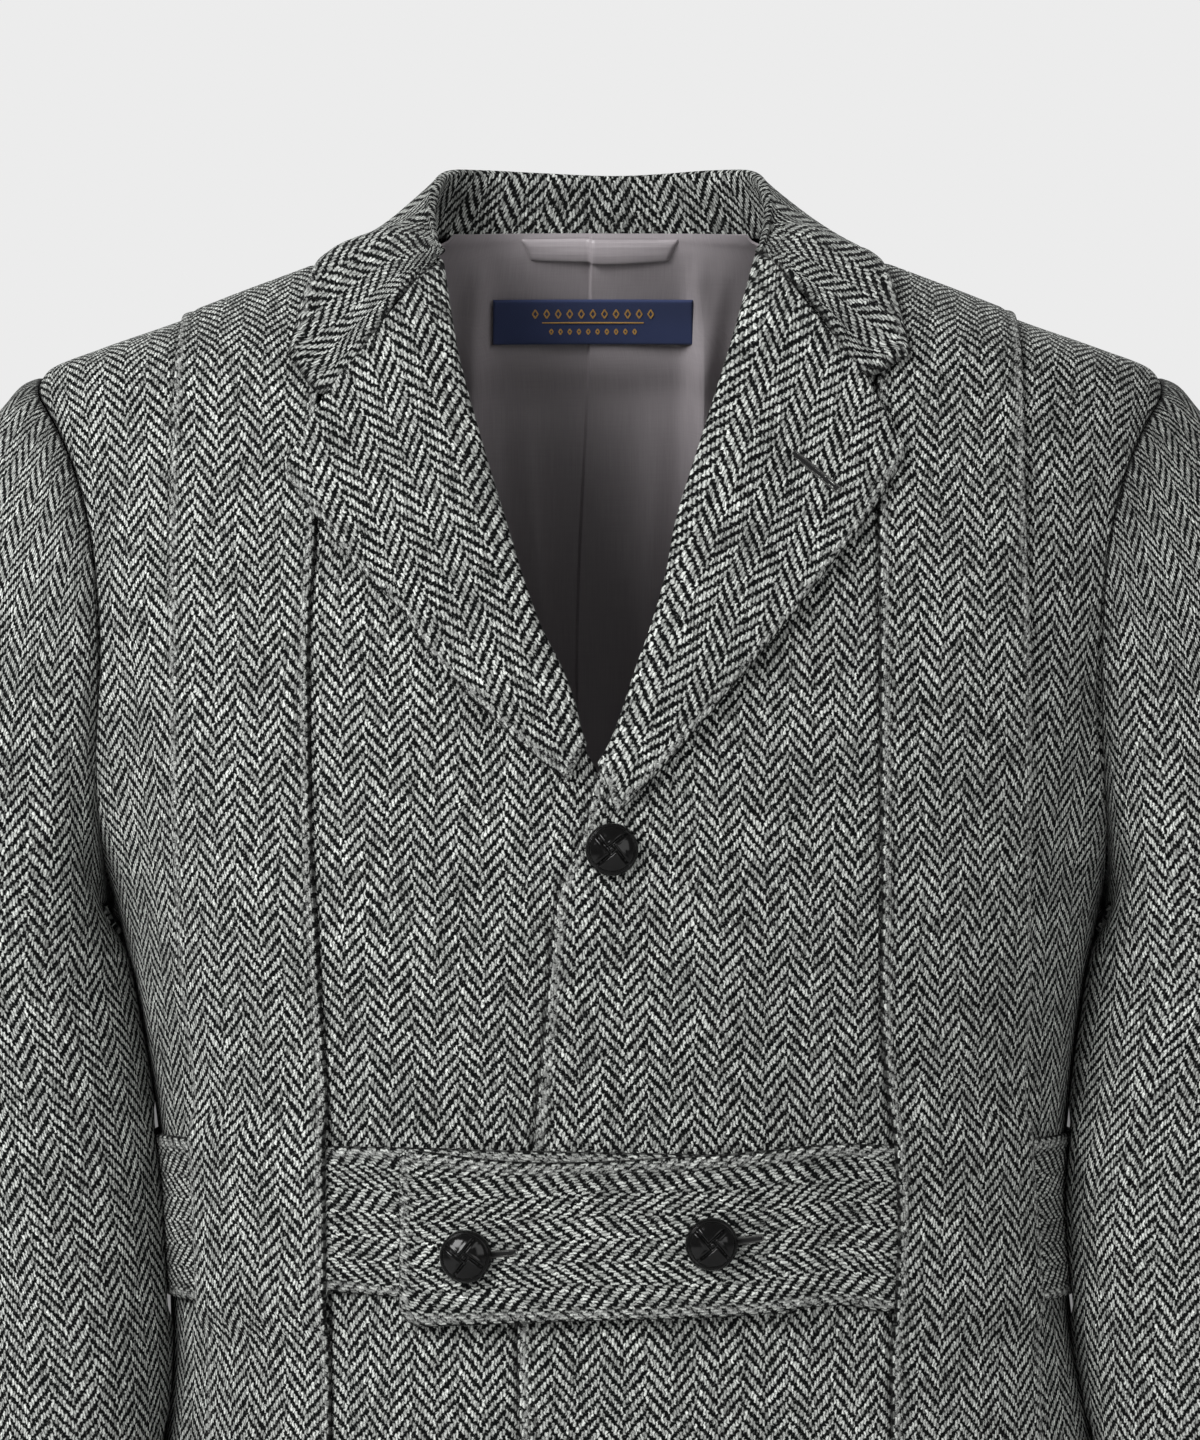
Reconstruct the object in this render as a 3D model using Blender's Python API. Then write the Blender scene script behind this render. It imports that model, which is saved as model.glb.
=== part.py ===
"""A norfolk jacket of herringbone tweed, filled out as if worn, with nobody in it.

Sizes are in metres. +X is the wearer's left, +Y their back, +Z up. The origin is where the wearer's shoulders
hold the jacket: midway between them, at the height of the neck.

The jacket's body is one form, a stack of rounded horizontal sections read from the table FORM. Each panel is
a patch of that form, and whatever lies on a panel (straps, belt, lapels, pockets) is made from the panel's own
points, moved out along the same normals. A hand of 1 is the wearer's left, -1 the wearer's right.
"""

import bisect
import math

import bmesh
import bpy
from mathutils import Vector

# Cloth
TWEED = 0.0022
BELT_CLOTH = 0.0026
LAPEL_CLOTH = 0.0026
COLLAR_CLOTH = 0.0020
LINING_CLOTH = 0.0010
LABEL_CLOTH = 0.0010
SEAM_GAP = 0.0003
LAY_GAP = 0.0004
BELT_GAP = 0.0008

# Roundness of the body's sections: 2 is an ellipse
POWER = 2.4

# The body's sections, from the hem to the neck
FORM = (
    # height, half_width, front_depth, back_depth, centre_x, centre_y
    (-0.730, 0.214, 0.128, 0.122, 0.012, 0.000),
    (-0.600, 0.205, 0.126, 0.114, 0.012, 0.000),
    (-0.487, 0.193, 0.122, 0.101, 0.012, 0.000),
    (-0.440, 0.187, 0.118, 0.095, 0.009, 0.000),
    (-0.395, 0.186, 0.117, 0.092, 0.006, 0.000),
    (-0.350, 0.190, 0.121, 0.095, 0.005, 0.000),
    (-0.305, 0.197, 0.127, 0.102, 0.004, 0.000),
    (-0.262, 0.206, 0.131, 0.108, 0.003, 0.000),
    (-0.190, 0.224, 0.128, 0.110, 0.000, 0.002),
    (-0.110, 0.236, 0.112, 0.104, 0.000, 0.004),
    (-0.060, 0.238, 0.093, 0.093, 0.000, 0.006),
    (-0.046, 0.230, 0.086, 0.087, 0.000, 0.007),
    (-0.037, 0.209, 0.080, 0.081, 0.000, 0.007),
    (-0.026, 0.178, 0.071, 0.075, 0.000, 0.008),
    (-0.016, 0.152, 0.062, 0.069, 0.000, 0.009),
    (-0.007, 0.128, 0.054, 0.062, 0.000, 0.010),
    (0.002, 0.105, 0.045, 0.054, 0.000, 0.011),
    (0.009, 0.087, 0.037, 0.049, 0.000, 0.011),
    (0.016, 0.070, 0.030, 0.045, 0.000, 0.012),
)
HALF_WIDTH, CENTRE_Y = 1, 5

# Heights of the panels' rows, from the hem to the underarm
HEM = -0.730
POCKET_TOP = -0.487
POCKET_BOTTOM = -0.670
POCKET_INSET = 0.12
BELT_BOTTOM = -0.4275
BELT_TOP = -0.3605
BELT_MIDDLE = (BELT_BOTTOM + BELT_TOP) / 2
UNDERARM = -0.262
LOWER_ROWS = (
    HEM, POCKET_BOTTOM, -0.610, -0.550, POCKET_TOP, -0.444,
    BELT_BOTTOM, BELT_MIDDLE, BELT_TOP, -0.345, -0.305, UNDERARM,
)

# The armhole is an ellipse seen from the side
SHOULDER_POINT = -0.048
ARMHOLE_ROWS = 9
ARMHOLE_CENTRE = (SHOULDER_POINT + UNDERARM) / 2
ARMHOLE_HALF_HEIGHT = (SHOULDER_POINT - UNDERARM) / 2
ARMHOLE_FRONT = 0.070
ARMHOLE_BACK = 0.076

# The neckline, as half widths and heights
NECK_POINT_X = 0.0895
NECK_POINT_HEIGHT = 0.008
BACK_NECK_HEIGHT = 0.012

# The front edge and roll line: x by height. The left front lies over the right one.
LEFT_EDGE = (
    # height, x
    (HEM, 0.002),
    (-0.700, -0.022),
    (-0.670, -0.031),
    (-0.474, -0.032),
    (-0.432, -0.033),
    (-0.358, -0.0266),
    (-0.311, -0.0218),
    (-0.273, -0.0186),
    (-0.258, -0.0162),
    (-0.240, -0.0083),
    (-0.2116, -0.0008),
    (-0.198, 0.0063),
    (-0.164, 0.0179),
    (-0.143, 0.0254),
    (-0.106, 0.0331),
    (-0.078, 0.0425),
    (-0.050, 0.0512),
    (-0.022, 0.0595),
    (0.000, 0.0648),
    (NECK_POINT_HEIGHT, NECK_POINT_X),
)
RIGHT_EDGE = (
    # height, x towards the wearer's right
    (HEM, 0.006),
    (-0.700, -0.014),
    (-0.670, -0.022),
    (-0.270, -0.022),
    (-0.245, -0.018),
    (-0.228, -0.008),
    (-0.2116, 0.0008),
    (-0.198, 0.0079),
    (-0.1795, 0.0127),
    (-0.149, 0.0270),
    (-0.106, 0.0407),
    (-0.072, 0.0510),
    (-0.033, 0.0608),
    (0.000, 0.0650),
    (NECK_POINT_HEIGHT, NECK_POINT_X),
)

# The straps' edges on the fronts and on the back: distance from the middle by height
STRAP_TOP_INNER = 0.113
STRAP_TOP_OUTER = 0.172
FRONT_STRAP = {
    1: (
        # height, inner_x, outer_x
        (HEM, 0.118, 0.180),
        (-0.474, 0.1161, 0.177),
        (-0.440, 0.1159, 0.1765),
        (-0.394, 0.1176, 0.1735),
        (-0.355, 0.1158, 0.1714),
        (-0.3025, 0.1115, 0.1733),
        (-0.199, 0.1114, 0.1732),
        (-0.095, 0.1110, 0.1710),
        (0.010, STRAP_TOP_INNER, STRAP_TOP_OUTER),
    ),
    -1: (
        (HEM, 0.111, 0.163),
        (-0.474, 0.1075, 0.159),
        (-0.420, 0.1081, 0.1600),
        (-0.357, 0.1083, 0.1630),
        (-0.296, 0.1111, 0.1680),
        (-0.230, 0.1145, 0.1710),
        (-0.160, 0.1159, 0.1728),
        (-0.110, 0.1133, 0.1735),
        (0.010, STRAP_TOP_INNER, STRAP_TOP_OUTER),
    ),
}
BACK_STRAP = (
    # height, inner_x, outer_x
    (HEM, 0.088, 0.146),
    (-0.487, 0.080, 0.137),
    (-0.394, 0.074, 0.129),
    (-0.262, 0.084, 0.143),
    (-0.110, 0.103, 0.163),
    (0.010, STRAP_TOP_INNER, STRAP_TOP_OUTER),
)
INNER, OUTER = 1, 2
STRAP_RISE = 0.0070

# How many columns a panel has from its inner edge to the strap, across the strap, and on to the side
FRONT_COLUMNS = (4, 2, 5)
BACK_COLUMNS = (5, 2, 4)
BACK_FRACTIONS = (0.0, 0.2, 0.398, 0.6, 0.792, 1.0)

# Where the left front lies over the right one it is lifted, and the belt clears both
OVERLAP_END = 0.048
OVERLAP_FADE = 0.085
OVERLAP_LIFT = TWEED + 0.0008
BELT_STEP = -0.044
BELT_STEP_FADE = -0.0715

# Belt: the left end lies on top and carries the buttonholes
OVER_BELT_END = -0.0790
UNDER_BELT_END = 0.076
BELT_SWAP_START = 0.079
BELT_SWAP_FADE = 0.097
BELT_COLUMNS = (-0.0935, OVER_BELT_END, -0.044, -0.014, 0.016, 0.046, UNDER_BELT_END, BELT_SWAP_FADE)
BELT_COLUMN_SPACE = 0.004
BELT_STRAY = {
    # x, how far the lower and the upper edge stray from level
    1: (
        (OVER_BELT_END, -0.0055, -0.0005), (-0.020, -0.0025, -0.0050),
        (0.051, -0.0005, -0.0015), (0.094, 0.0030, 0.0010), (0.112, 0.0, 0.0),
    ),
    -1: ((-0.108, 0.0079, -0.0005), (-0.0715, 0.0060, -0.0005), (UNDER_BELT_END, 0.0, -0.0030)),
}

# Lapels: height on the roll line, then the outer edge that it is paired with
LAPEL_LEFT = (
    # roll_height, edge_x, edge_height
    (-0.2085, 0.0060, -0.2293),
    (-0.2000, 0.0198, -0.2159),
    (-0.1880, 0.0427, -0.1898),
    (-0.1720, 0.0594, -0.1700),
    (-0.1540, 0.0780, -0.1475),
    (-0.1340, 0.0957, -0.1248),
    (-0.1120, 0.1063, -0.1111),
    (-0.0850, 0.1165, -0.0960),
    (-0.0500, 0.1210, -0.0885),
    (-0.0270, 0.1214, -0.0863),
)
LAPEL_RIGHT = (
    (-0.2010, 0.0120, -0.2165),
    (-0.1940, 0.0280, -0.2035),
    (-0.1840, 0.0430, -0.1900),
    (-0.1700, 0.0662, -0.1664),
    (-0.1540, 0.0780, -0.1490),
    (-0.1340, 0.0950, -0.1325),
    (-0.1120, 0.1080, -0.1170),
    (-0.0850, 0.1200, -0.1020),
    (-0.0500, 0.1252, -0.0965),
    (-0.0290, 0.1257, -0.0943),
)
LAPEL_TOP = {
    # x, height: the roll line, two points of the seam to the collar, the notch, the lapel's tip
    1: ((0.0650, -0.0012), (0.0800, -0.0205), (0.0925, -0.0370), (0.1060, -0.0550), (0.1216, -0.0842)),
    -1: ((0.0655, -0.0040), (0.0805, -0.0240), (0.0945, -0.0430), (0.1100, -0.0625), (0.1259, -0.0923)),
}
LAPEL_LIFT = 0.0050
ROLL_LIFT = 0.0016
LAPEL_SPREAD = 0.16
LAPEL_OVERLAP_EDGE = -0.004

# Collar: the neck seam, the fold and the fall's outer edge, from the centre of the back to the front
COLLAR = (
    # seam_x, seam_y, seam_z, fold_x, fold_y, fold_z, edge_x, edge_y, edge_z
    (0.000, 0.0530, 0.0128, 0.000, 0.058, 0.0415, 0.000, 0.074, -0.004),
    (0.034, 0.0500, 0.0128, 0.027, 0.056, 0.0418, 0.042, 0.070, -0.004),
    (0.058, 0.0400, 0.0124, 0.048, 0.049, 0.0422, 0.079, 0.056, -0.002),
    (0.073, 0.0250, 0.0115, 0.061, 0.034, 0.0410, 0.098, 0.036, 0.001),
    (0.080, 0.0110, 0.0098, 0.0660, 0.016, 0.0350, 0.1070, 0.014, 0.003),
    (0.078, -0.004, 0.0070, 0.0680, 0.000, 0.0250, 0.1115, -0.012, -0.006),
    (0.072, -0.018, 0.0030, 0.0670, -0.014, 0.0135, 0.1170, -0.034, -0.021),
    (0.0665, -0.028, 0.0000, 0.0655, -0.030, 0.0020, 0.1245, -0.060, -0.0465),
)
FOLD_WIDTH = 0.0062
FOLD_DROP = 0.45
FULL_STAND = 0.014
STAND_MIDDLE = 0.55
GORGE_GAP = 0.0006
FALL_FRACTIONS = (0.27, 0.52, 0.78, 1.0)
COLLAR_LIFT = (0.0030, 0.0030, 0.0030, 0.0032, 0.0038, 0.0064, 0.0084, 0.0086)

# Sleeves: rings from above the elbow to the cuff
SLEEVE = (
    # height, inner_x, shift_x, centre_y, half_width, half_depth
    (-0.300, 0.1900, 0.0040, -0.010, 0.0540, 0.0670),
    (-0.345, 0.1850, 0.0045, -0.014, 0.0530, 0.0645),
    (-0.390, 0.1815, 0.0060, -0.017, 0.0520, 0.0620),
    (-0.435, 0.1820, 0.0085, -0.020, 0.0505, 0.0600),
    (-0.480, 0.1865, 0.0110, -0.024, 0.0485, 0.0575),
    (-0.530, 0.1930, 0.0120, -0.029, 0.0460, 0.0550),
    (-0.585, 0.1985, 0.0120, -0.036, 0.0430, 0.0510),
    (-0.640, 0.2030, 0.0120, -0.044, 0.0400, 0.0480),
)
# The hanging sleeve is pressed to the body's side, past the belt and the pocket
SLEEVE_CLEAR = 0.0044
HEAD_CLEAR = 0.0012
HEAD_STEPS = 6
RING = 2 * ARMHOLE_ROWS
UNDER_FIRST, UNDER_LAST = 6, 12
SEAM_FRACTION = 0.009
# How far a ring of the sleeve's head is carried on by its start and its end, at the middle and more at the top
HEAD_OUT = (0.120, 0.040)
HEAD_FORWARD = 0.016
HEAD_DOWN = (0.040, 0.032)
HEAD_ARRIVE = (0.135, 0.085)

# Buttons: woven-leather domes on a flat rim
BUTTON_RADIUS = 0.0105
BUTTON_DOME = 0.0062
BUTTON_RIM = 0.0018
BUTTON_BACK = 0.92
BUTTON_STEPS = 6
BUTTON_SIDES = 20
FRONT_BUTTON = (0.0047, -0.2424)
BELT_BUTTONS = {"button_belt_outer": (-0.0517, -0.4036), "button_belt_inner": (0.0434, -0.3986)}

# Inside the back
LABEL_ROWS = (-0.0262, -0.0062)
LINING_ROWS = (
    -0.700, -0.600, -0.530, -0.487, -0.444, -0.394, -0.345, -0.305,
    -0.262, -0.215, -0.160, -0.110, -0.065, *LABEL_ROWS, 0.0050, 0.0145,
)
LINING_NECK = (-0.030, 0.007)
PLEAT_TOP_LAYER = -0.0040
LABEL_COLUMNS = (-0.0465, -0.022, -0.0052, PLEAT_TOP_LAYER, 0.018, 0.0404)
LINING_HALF = 0.150
LINING_STRAIGHT = 0.075
LINING_COLUMNS = (-LINING_HALF, -0.110, -LINING_STRAIGHT, *LABEL_COLUMNS, LINING_STRAIGHT, 0.110, LINING_HALF)
LINING_REACH = 0.64
LINING_LIFT = 0.0024
LINING_NECK_LIFT = 0.0010
PLEAT_DEPTH = 0.0022
PLEAT_FADE = 0.0404
LOOP_HALF = 0.035
LOOP_HEIGHTS = (0.0085, 0.0158)
LOOP_CLOTH = 0.0012
LOOP_STAND_OFF = 0.0022
LOOP_SEAT = 0.0009
LOOP_STEPS = 6

# Colours are linear, from the photograph
TWEED_GREY = (0.150, 0.152, 0.146)
LINING_GREY = (0.150, 0.135, 0.145)
LABEL_NAVY = (0.021, 0.030, 0.090)
BUTTON_BLACK = (0.012, 0.011, 0.011)


def table_value(rows, key, column):
    """Reads a column of a table at a key between its rows, along a smooth curve that doesn't overshoot."""
    keys = [row[0] for row in rows]
    last = len(rows) - 1
    key = min(max(key, keys[0]), keys[-1])
    low = min(max(bisect.bisect_right(keys, key) - 1, 0), last - 1)

    def slope_between(first):
        return (rows[first + 1][column] - rows[first][column]) / (keys[first + 1] - keys[first])

    def slope_at(index):
        if index == 0:
            return slope_between(0)
        if index == last:
            return slope_between(last - 1)
        before, after = slope_between(index - 1), slope_between(index)
        return 0.0 if before * after <= 0 else 2 * before * after / (before + after)

    step = keys[low + 1] - keys[low]
    t = (key - keys[low]) / step
    start, end = rows[low][column], rows[low + 1][column]
    bend = (t**3 - 2 * t**2 + t) * slope_at(low) + (t**3 - t**2) * slope_at(low + 1)
    return start + (3 * t**2 - 2 * t**3) * (end - start) + bend * step


def fade(value, start, end):
    """0 at start, 1 at end, and smooth between them."""
    t = min(max((value - start) / (end - start), 0.0), 1.0)
    return t * t * (3 - 2 * t)


def mix(start, end, t):
    return start + (end - start) * t


# The form


def section(height):
    return [table_value(FORM, height, column) for column in range(1, 6)]


def fullness(x, y, height):
    """1 on the form's surface, less inside it and more outside."""
    half_width, front, back, centre_x, centre_y = section(height)
    depth = front if y < centre_y else back
    return (abs(x - centre_x) / half_width) ** POWER + (abs(y - centre_y) / depth) ** POWER


def form_normal(point):
    """The form's outward direction at a point."""
    step = 0.0004
    x, y, z = point
    return Vector((
        fullness(x + step, y, z) - fullness(x - step, y, z),
        fullness(x, y + step, z) - fullness(x, y - step, z),
        fullness(x, y, z + step) - fullness(x, y, z - step),
    )).normalized()


def form_point(x, height, side):
    """The form's point at x and height, on its front (side -1) or its back (side 1)."""
    half_width, front, back, centre_x, centre_y = section(height)
    depth = front if side < 0 else back
    across = min(abs(x - centre_x) / half_width, 1.0)
    out = depth * (1 - across**POWER) ** (1 / POWER)
    return Vector((x, centre_y + side * max(out, SEAM_GAP / 2), height))


def angle_of_x(x, height):
    """The form's angle at x: 0 at the side, a right angle at the middle of the front or back."""
    half_width, _, _, centre_x, _ = section(height)
    across = min(abs(x - centre_x) / half_width, 1.0)
    return math.acos(across ** (POWER / 2))


def angle_of_depth(out, height, side):
    _, front, back, _, _ = section(height)
    depth = front if side < 0 else back
    return math.asin(min(out / depth, 1.0) ** (POWER / 2))


def angle_point(angle, height, side, hand):
    half_width, front, back, centre_x, centre_y = section(height)
    depth = front if side < 0 else back
    x = centre_x + hand * half_width * max(math.cos(angle), 0.0) ** (2 / POWER)
    out = depth * math.sin(angle) ** (2 / POWER)
    return Vector((x, centre_y + side * max(out, SEAM_GAP / 2), height))


def moved_out(point, distance):
    return point + form_normal(point) * distance


def clear_of_form(point, distance):
    """The point, pushed out where it lies less than this distance from the form."""
    for _ in range(4):
        x, y, z = point
        step = 0.0004
        normal = form_normal(point)
        ahead = point + normal * step
        slope = (fullness(*ahead) - fullness(x, y, z)) / step
        away = (fullness(x, y, z) - 1) / slope
        if away < distance:
            point = point + normal * (distance - away)
    return point


def ridge_height(x):
    """The height of the shoulder seam, or of the neckline inside the neck points."""
    if x < NECK_POINT_X:
        return mix(BACK_NECK_HEIGHT, NECK_POINT_HEIGHT, fade(x, 0.0, NECK_POINT_X))
    low, high = SHOULDER_POINT, FORM[-1][0]
    for _ in range(40):
        middle = (low + high) / 2
        if table_value(FORM, middle, HALF_WIDTH) > x:
            low = middle
        else:
            high = middle
    return low


# Meshes


def material(name, colour, roughness):
    made = bpy.data.materials.new(name)
    made.use_nodes = True
    surface = made.node_tree.nodes["Principled BSDF"]
    surface.inputs["Base Color"].default_value = (*colour, 1.0)
    surface.inputs["Roughness"].default_value = roughness
    surface.inputs["Metallic"].default_value = 0.0
    return made


def add_object(name, mesh, look):
    made = bpy.data.objects.new(name, mesh)
    made.data.materials.append(look)
    bpy.data.collections["norfolk_jacket"].objects.link(made)
    return made


def wall(name, outside, inside, look):
    """A closed wall between two grids of points, with the same diagonals on both faces."""
    mesh = bmesh.new()
    outer = [[mesh.verts.new(point) for point in row] for row in outside]
    inner = [[mesh.verts.new(point) for point in row] for row in inside]
    rows, columns = len(outer), len(outer[0])
    for r in range(rows - 1):
        for c in range(columns - 1):
            for grid, flip in ((outer, False), (inner, True)):
                a, b, d, e = grid[r][c], grid[r][c + 1], grid[r + 1][c + 1], grid[r + 1][c]
                for corners in ((a, b, d), (a, d, e)):
                    mesh.faces.new(corners[::-1] if flip else corners)
    rim = [(0, c) for c in range(columns)] + [(r, columns - 1) for r in range(1, rows)]
    rim += [(rows - 1, c) for c in range(columns - 2, -1, -1)] + [(r, 0) for r in range(rows - 2, 0, -1)]
    for (r0, c0), (r1, c1) in zip(rim, rim[1:] + rim[:1]):
        mesh.faces.new((outer[r1][c1], outer[r0][c0], inner[r0][c0], inner[r1][c1]))
    bmesh.ops.triangulate(mesh, faces=[face for face in mesh.faces if len(face.verts) > 3])
    bmesh.ops.recalc_face_normals(mesh, faces=mesh.faces)
    if mesh.calc_volume(signed=True) < 0:
        bmesh.ops.reverse_faces(mesh, faces=mesh.faces)
    data = bpy.data.meshes.new(name)
    mesh.to_mesh(data)
    mesh.free()
    data.shade_smooth()
    data.set_sharp_from_angle(angle=math.radians(50))
    return add_object(name, data, look)


def form_wall(name, points, low, high, look):
    """A wall made from points of the form, from one distance off it to another. Either may be a grid."""

    def shifted(distance):
        if isinstance(distance, float):
            return [[moved_out(point, distance) for point in row] for row in points]
        return [[moved_out(point, off) for point, off in zip(row, offs)] for row, offs in zip(points, distance)]

    return wall(name, shifted(high), shifted(low), look)


# Panels


def panel_rows():
    """Each row's height at the panel's outer border, how far it tilts up with the shoulder, and its angle."""
    rows = [(height, 0.0, None) for height in LOWER_ROWS[:-1]]
    for step in range(ARMHOLE_ROWS):
        turn = -math.pi / 2 + math.pi * step / ARMHOLE_ROWS
        rows.append((ARMHOLE_CENTRE + ARMHOLE_HALF_HEIGHT * math.sin(turn), step / ARMHOLE_ROWS, turn))
    return rows


def border_angle(height, turn, side):
    """The form's angle at the panel's outer border: the side seam, or the armhole above it."""
    reach = ARMHOLE_FRONT if side < 0 else ARMHOLE_BACK
    out = reach * math.cos(turn) if turn is not None else 0.0
    return angle_of_depth(max(out, SEAM_GAP / 2), height, side)


def panel(hand, side, inner_edge, strap, columns, fractions, top_inner):
    """A front or back panel as rows of points on the form, from the hem up and from its inner edge outwards."""
    to_strap, across, to_side = columns
    shoulder_x = table_value(FORM, SHOULDER_POINT, HALF_WIDTH)
    top = [mix(top_inner, STRAP_TOP_INNER, part) for part in fractions]
    top += [mix(STRAP_TOP_INNER, STRAP_TOP_OUTER, step / across) for step in range(1, across + 1)]
    top += [mix(STRAP_TOP_OUTER, shoulder_x, step / to_side) for step in range(1, to_side + 1)]
    climbs = [ridge_height(x) - SHOULDER_POINT for x in top]
    grid = []
    for border, tilt, turn in panel_rows():
        heights = [border + tilt * climb for climb in climbs]
        heights[-1] = border
        row = []
        for column in range(to_strap + across + 1):
            height = heights[column]
            strap_inner = table_value(strap, height, INNER)
            if column <= to_strap:
                x = mix(inner_edge(height), strap_inner, fractions[column])
            else:
                x = mix(strap_inner, table_value(strap, height, OUTER), (column - to_strap) / across)
            row.append(form_point(hand * x, height, side))
        strap_angle = angle_of_x(row[-1].x, row[-1].z)
        outer_angle = border_angle(border, turn, side)
        for step in range(1, to_side + 1):
            angle = mix(strap_angle, outer_angle, step / to_side)
            row.append(angle_point(angle, heights[to_strap + across + step], side, hand))
        grid.append(row)
    grid.append([top_point(x, side, hand) for x in top])
    return grid


def top_point(x, side, hand):
    """A point of the shoulder seam, or of the back neckline."""
    height = ridge_height(x)
    if x < NECK_POINT_X:
        return form_point(hand * x, height, side)
    return Vector((hand * x, table_value(FORM, height, CENTRE_Y) + side * SEAM_GAP / 2, height))


def front_panel(hand):
    edge = LEFT_EDGE if hand > 0 else RIGHT_EDGE
    to_strap = FRONT_COLUMNS[0]
    fractions = [step / to_strap for step in range(to_strap + 1)]
    return panel(
        hand, -1, lambda height: table_value(edge, height, 1), FRONT_STRAP[hand], FRONT_COLUMNS, fractions,
        NECK_POINT_X,
    )


def back_panel(hand):
    return panel(hand, 1, lambda height: SEAM_GAP / 2, BACK_STRAP, BACK_COLUMNS, BACK_FRACTIONS, 0.0)


def overlap_lift(point):
    """How far the left front is lifted to lie over the right one."""
    return OVERLAP_LIFT * (1 - fade(point.x, OVERLAP_END, OVERLAP_FADE))


def build_panels(tweed):
    grids = {}
    for hand, word in ((1, "left"), (-1, "right")):
        front = front_panel(hand)
        lifts = [[overlap_lift(point) if hand > 0 else 0.0 for point in row] for row in front]
        lows = [[lift - TWEED for lift in row] for row in lifts]
        form_wall(f"front_{word}", front, lows, lifts, tweed)
        back = back_panel(hand)
        form_wall(f"back_{word}", back, -TWEED, 0.0, tweed)
        grids[hand] = (front, back)
    return grids


# Straps and belt


def strap_offset(height, belt_top):
    """Beside the belt a strap lies on its panel; over the belt it rises to clear it."""
    if height > BELT_TOP + STRAP_RISE or height < BELT_BOTTOM - STRAP_RISE:
        return LAY_GAP
    return belt_top


def build_straps(grids, tweed):
    over_belt = BELT_GAP + BELT_CLOTH + LAY_GAP
    for hand, word in ((1, "left"), (-1, "right")):
        for grid, columns, place in (
            (grids[hand][0], FRONT_COLUMNS, "front"),
            (grids[hand][1], BACK_COLUMNS, "back"),
        ):
            points = [row[columns[0] : columns[0] + columns[1] + 1] for row in grid]
            lows = [[strap_offset(point.z, over_belt) for point in row] for row in points]
            highs = [[low + TWEED for low in row] for row in lows]
            form_wall(f"strap_{place}_{word}", points, lows, highs, tweed)


def belt_cover(point):
    """What the belt clears at the front: the step where the left front lies over the right one."""
    on_right = fade(point.x, BELT_STEP_FADE, BELT_STEP)
    on_left = 1 - fade(point.x, OVERLAP_END, OVERLAP_FADE)
    return BELT_GAP + OVERLAP_LIFT * on_right * on_left


def belt_line(grids, hand, end):
    """The belt's points: round from the centre of the back to the strap's inner edge, then to its own end."""
    first = LOWER_ROWS.index(BELT_BOTTOM)
    to_strap = FRONT_COLUMNS[0]
    middle = sorted((x for x in BELT_COLUMNS if x * hand >= end * hand), reverse=hand > 0)
    rows = []
    for number in range(3):
        back, front = (grids[hand][side][first + number] for side in (1, 0))
        strap_edge = front[to_strap]
        row = list(back) + front[:to_strap:-1]
        for x in [strap_edge.x] + [x for x in middle if x * hand < strap_edge.x * hand - BELT_COLUMN_SPACE]:
            low, high = (table_value(BELT_STRAY[hand], x, column) for column in (1, 2))
            row.append(form_point(x, strap_edge.z + mix(low, high, number / 2), -1))
        rows.append(row)
    return rows


def build_belt(grids, tweed):
    for hand, word, end in ((-1, "right", UNDER_BELT_END), (1, "left", OVER_BELT_END)):
        points = belt_line(grids, hand, end)
        lows = []
        for row in points:
            line = []
            for point in row:
                low = belt_cover(point) if point.y < 0 else BELT_GAP
                if hand > 0 and point.y < 0:
                    low += (BELT_CLOTH + LAY_GAP) * (1 - fade(point.x, BELT_SWAP_START, BELT_SWAP_FADE))
                line.append(low)
            lows.append(line)
        highs = [[low + BELT_CLOTH for low in row] for row in lows]
        form_wall(f"belt_{word}", points, lows, highs, tweed)


# Lapels and collar


def lapel_points(hand):
    """Rows from the bottom of the roll line up, each from the roll line to the lapel's outer edge."""
    edge = LEFT_EDGE if hand > 0 else RIGHT_EDGE
    fractions = (0.0, LAPEL_SPREAD, *FALL_FRACTIONS[1:])
    rows = []
    for roll_height, edge_x, edge_height in LAPEL_LEFT if hand > 0 else LAPEL_RIGHT:
        roll_x = table_value(edge, roll_height, 1)
        row = []
        for part in fractions:
            x = mix(roll_x, edge_x, part)
            row.append(form_point(hand * x, mix(roll_height, edge_height, part), -1))
        rows.append(row)
    rows.append([form_point(hand * x, height, -1) for x, height in LAPEL_TOP[hand]])
    return rows


def lapel_offset(point, column):
    base = overlap_lift(point) if point.x > LAPEL_OVERLAP_EDGE else 0.0
    return base + (ROLL_LIFT if column == 0 else LAPEL_LIFT)


def build_lapels(tweed):
    for hand, word in ((1, "left"), (-1, "right")):
        points = lapel_points(hand)
        lows = [[lapel_offset(point, column) for column, point in enumerate(row)] for row in points]
        highs = [[low + LAPEL_CLOTH for low in row] for row in lows]
        form_wall(f"lapel_{word}", points, lows, highs, tweed)


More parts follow.
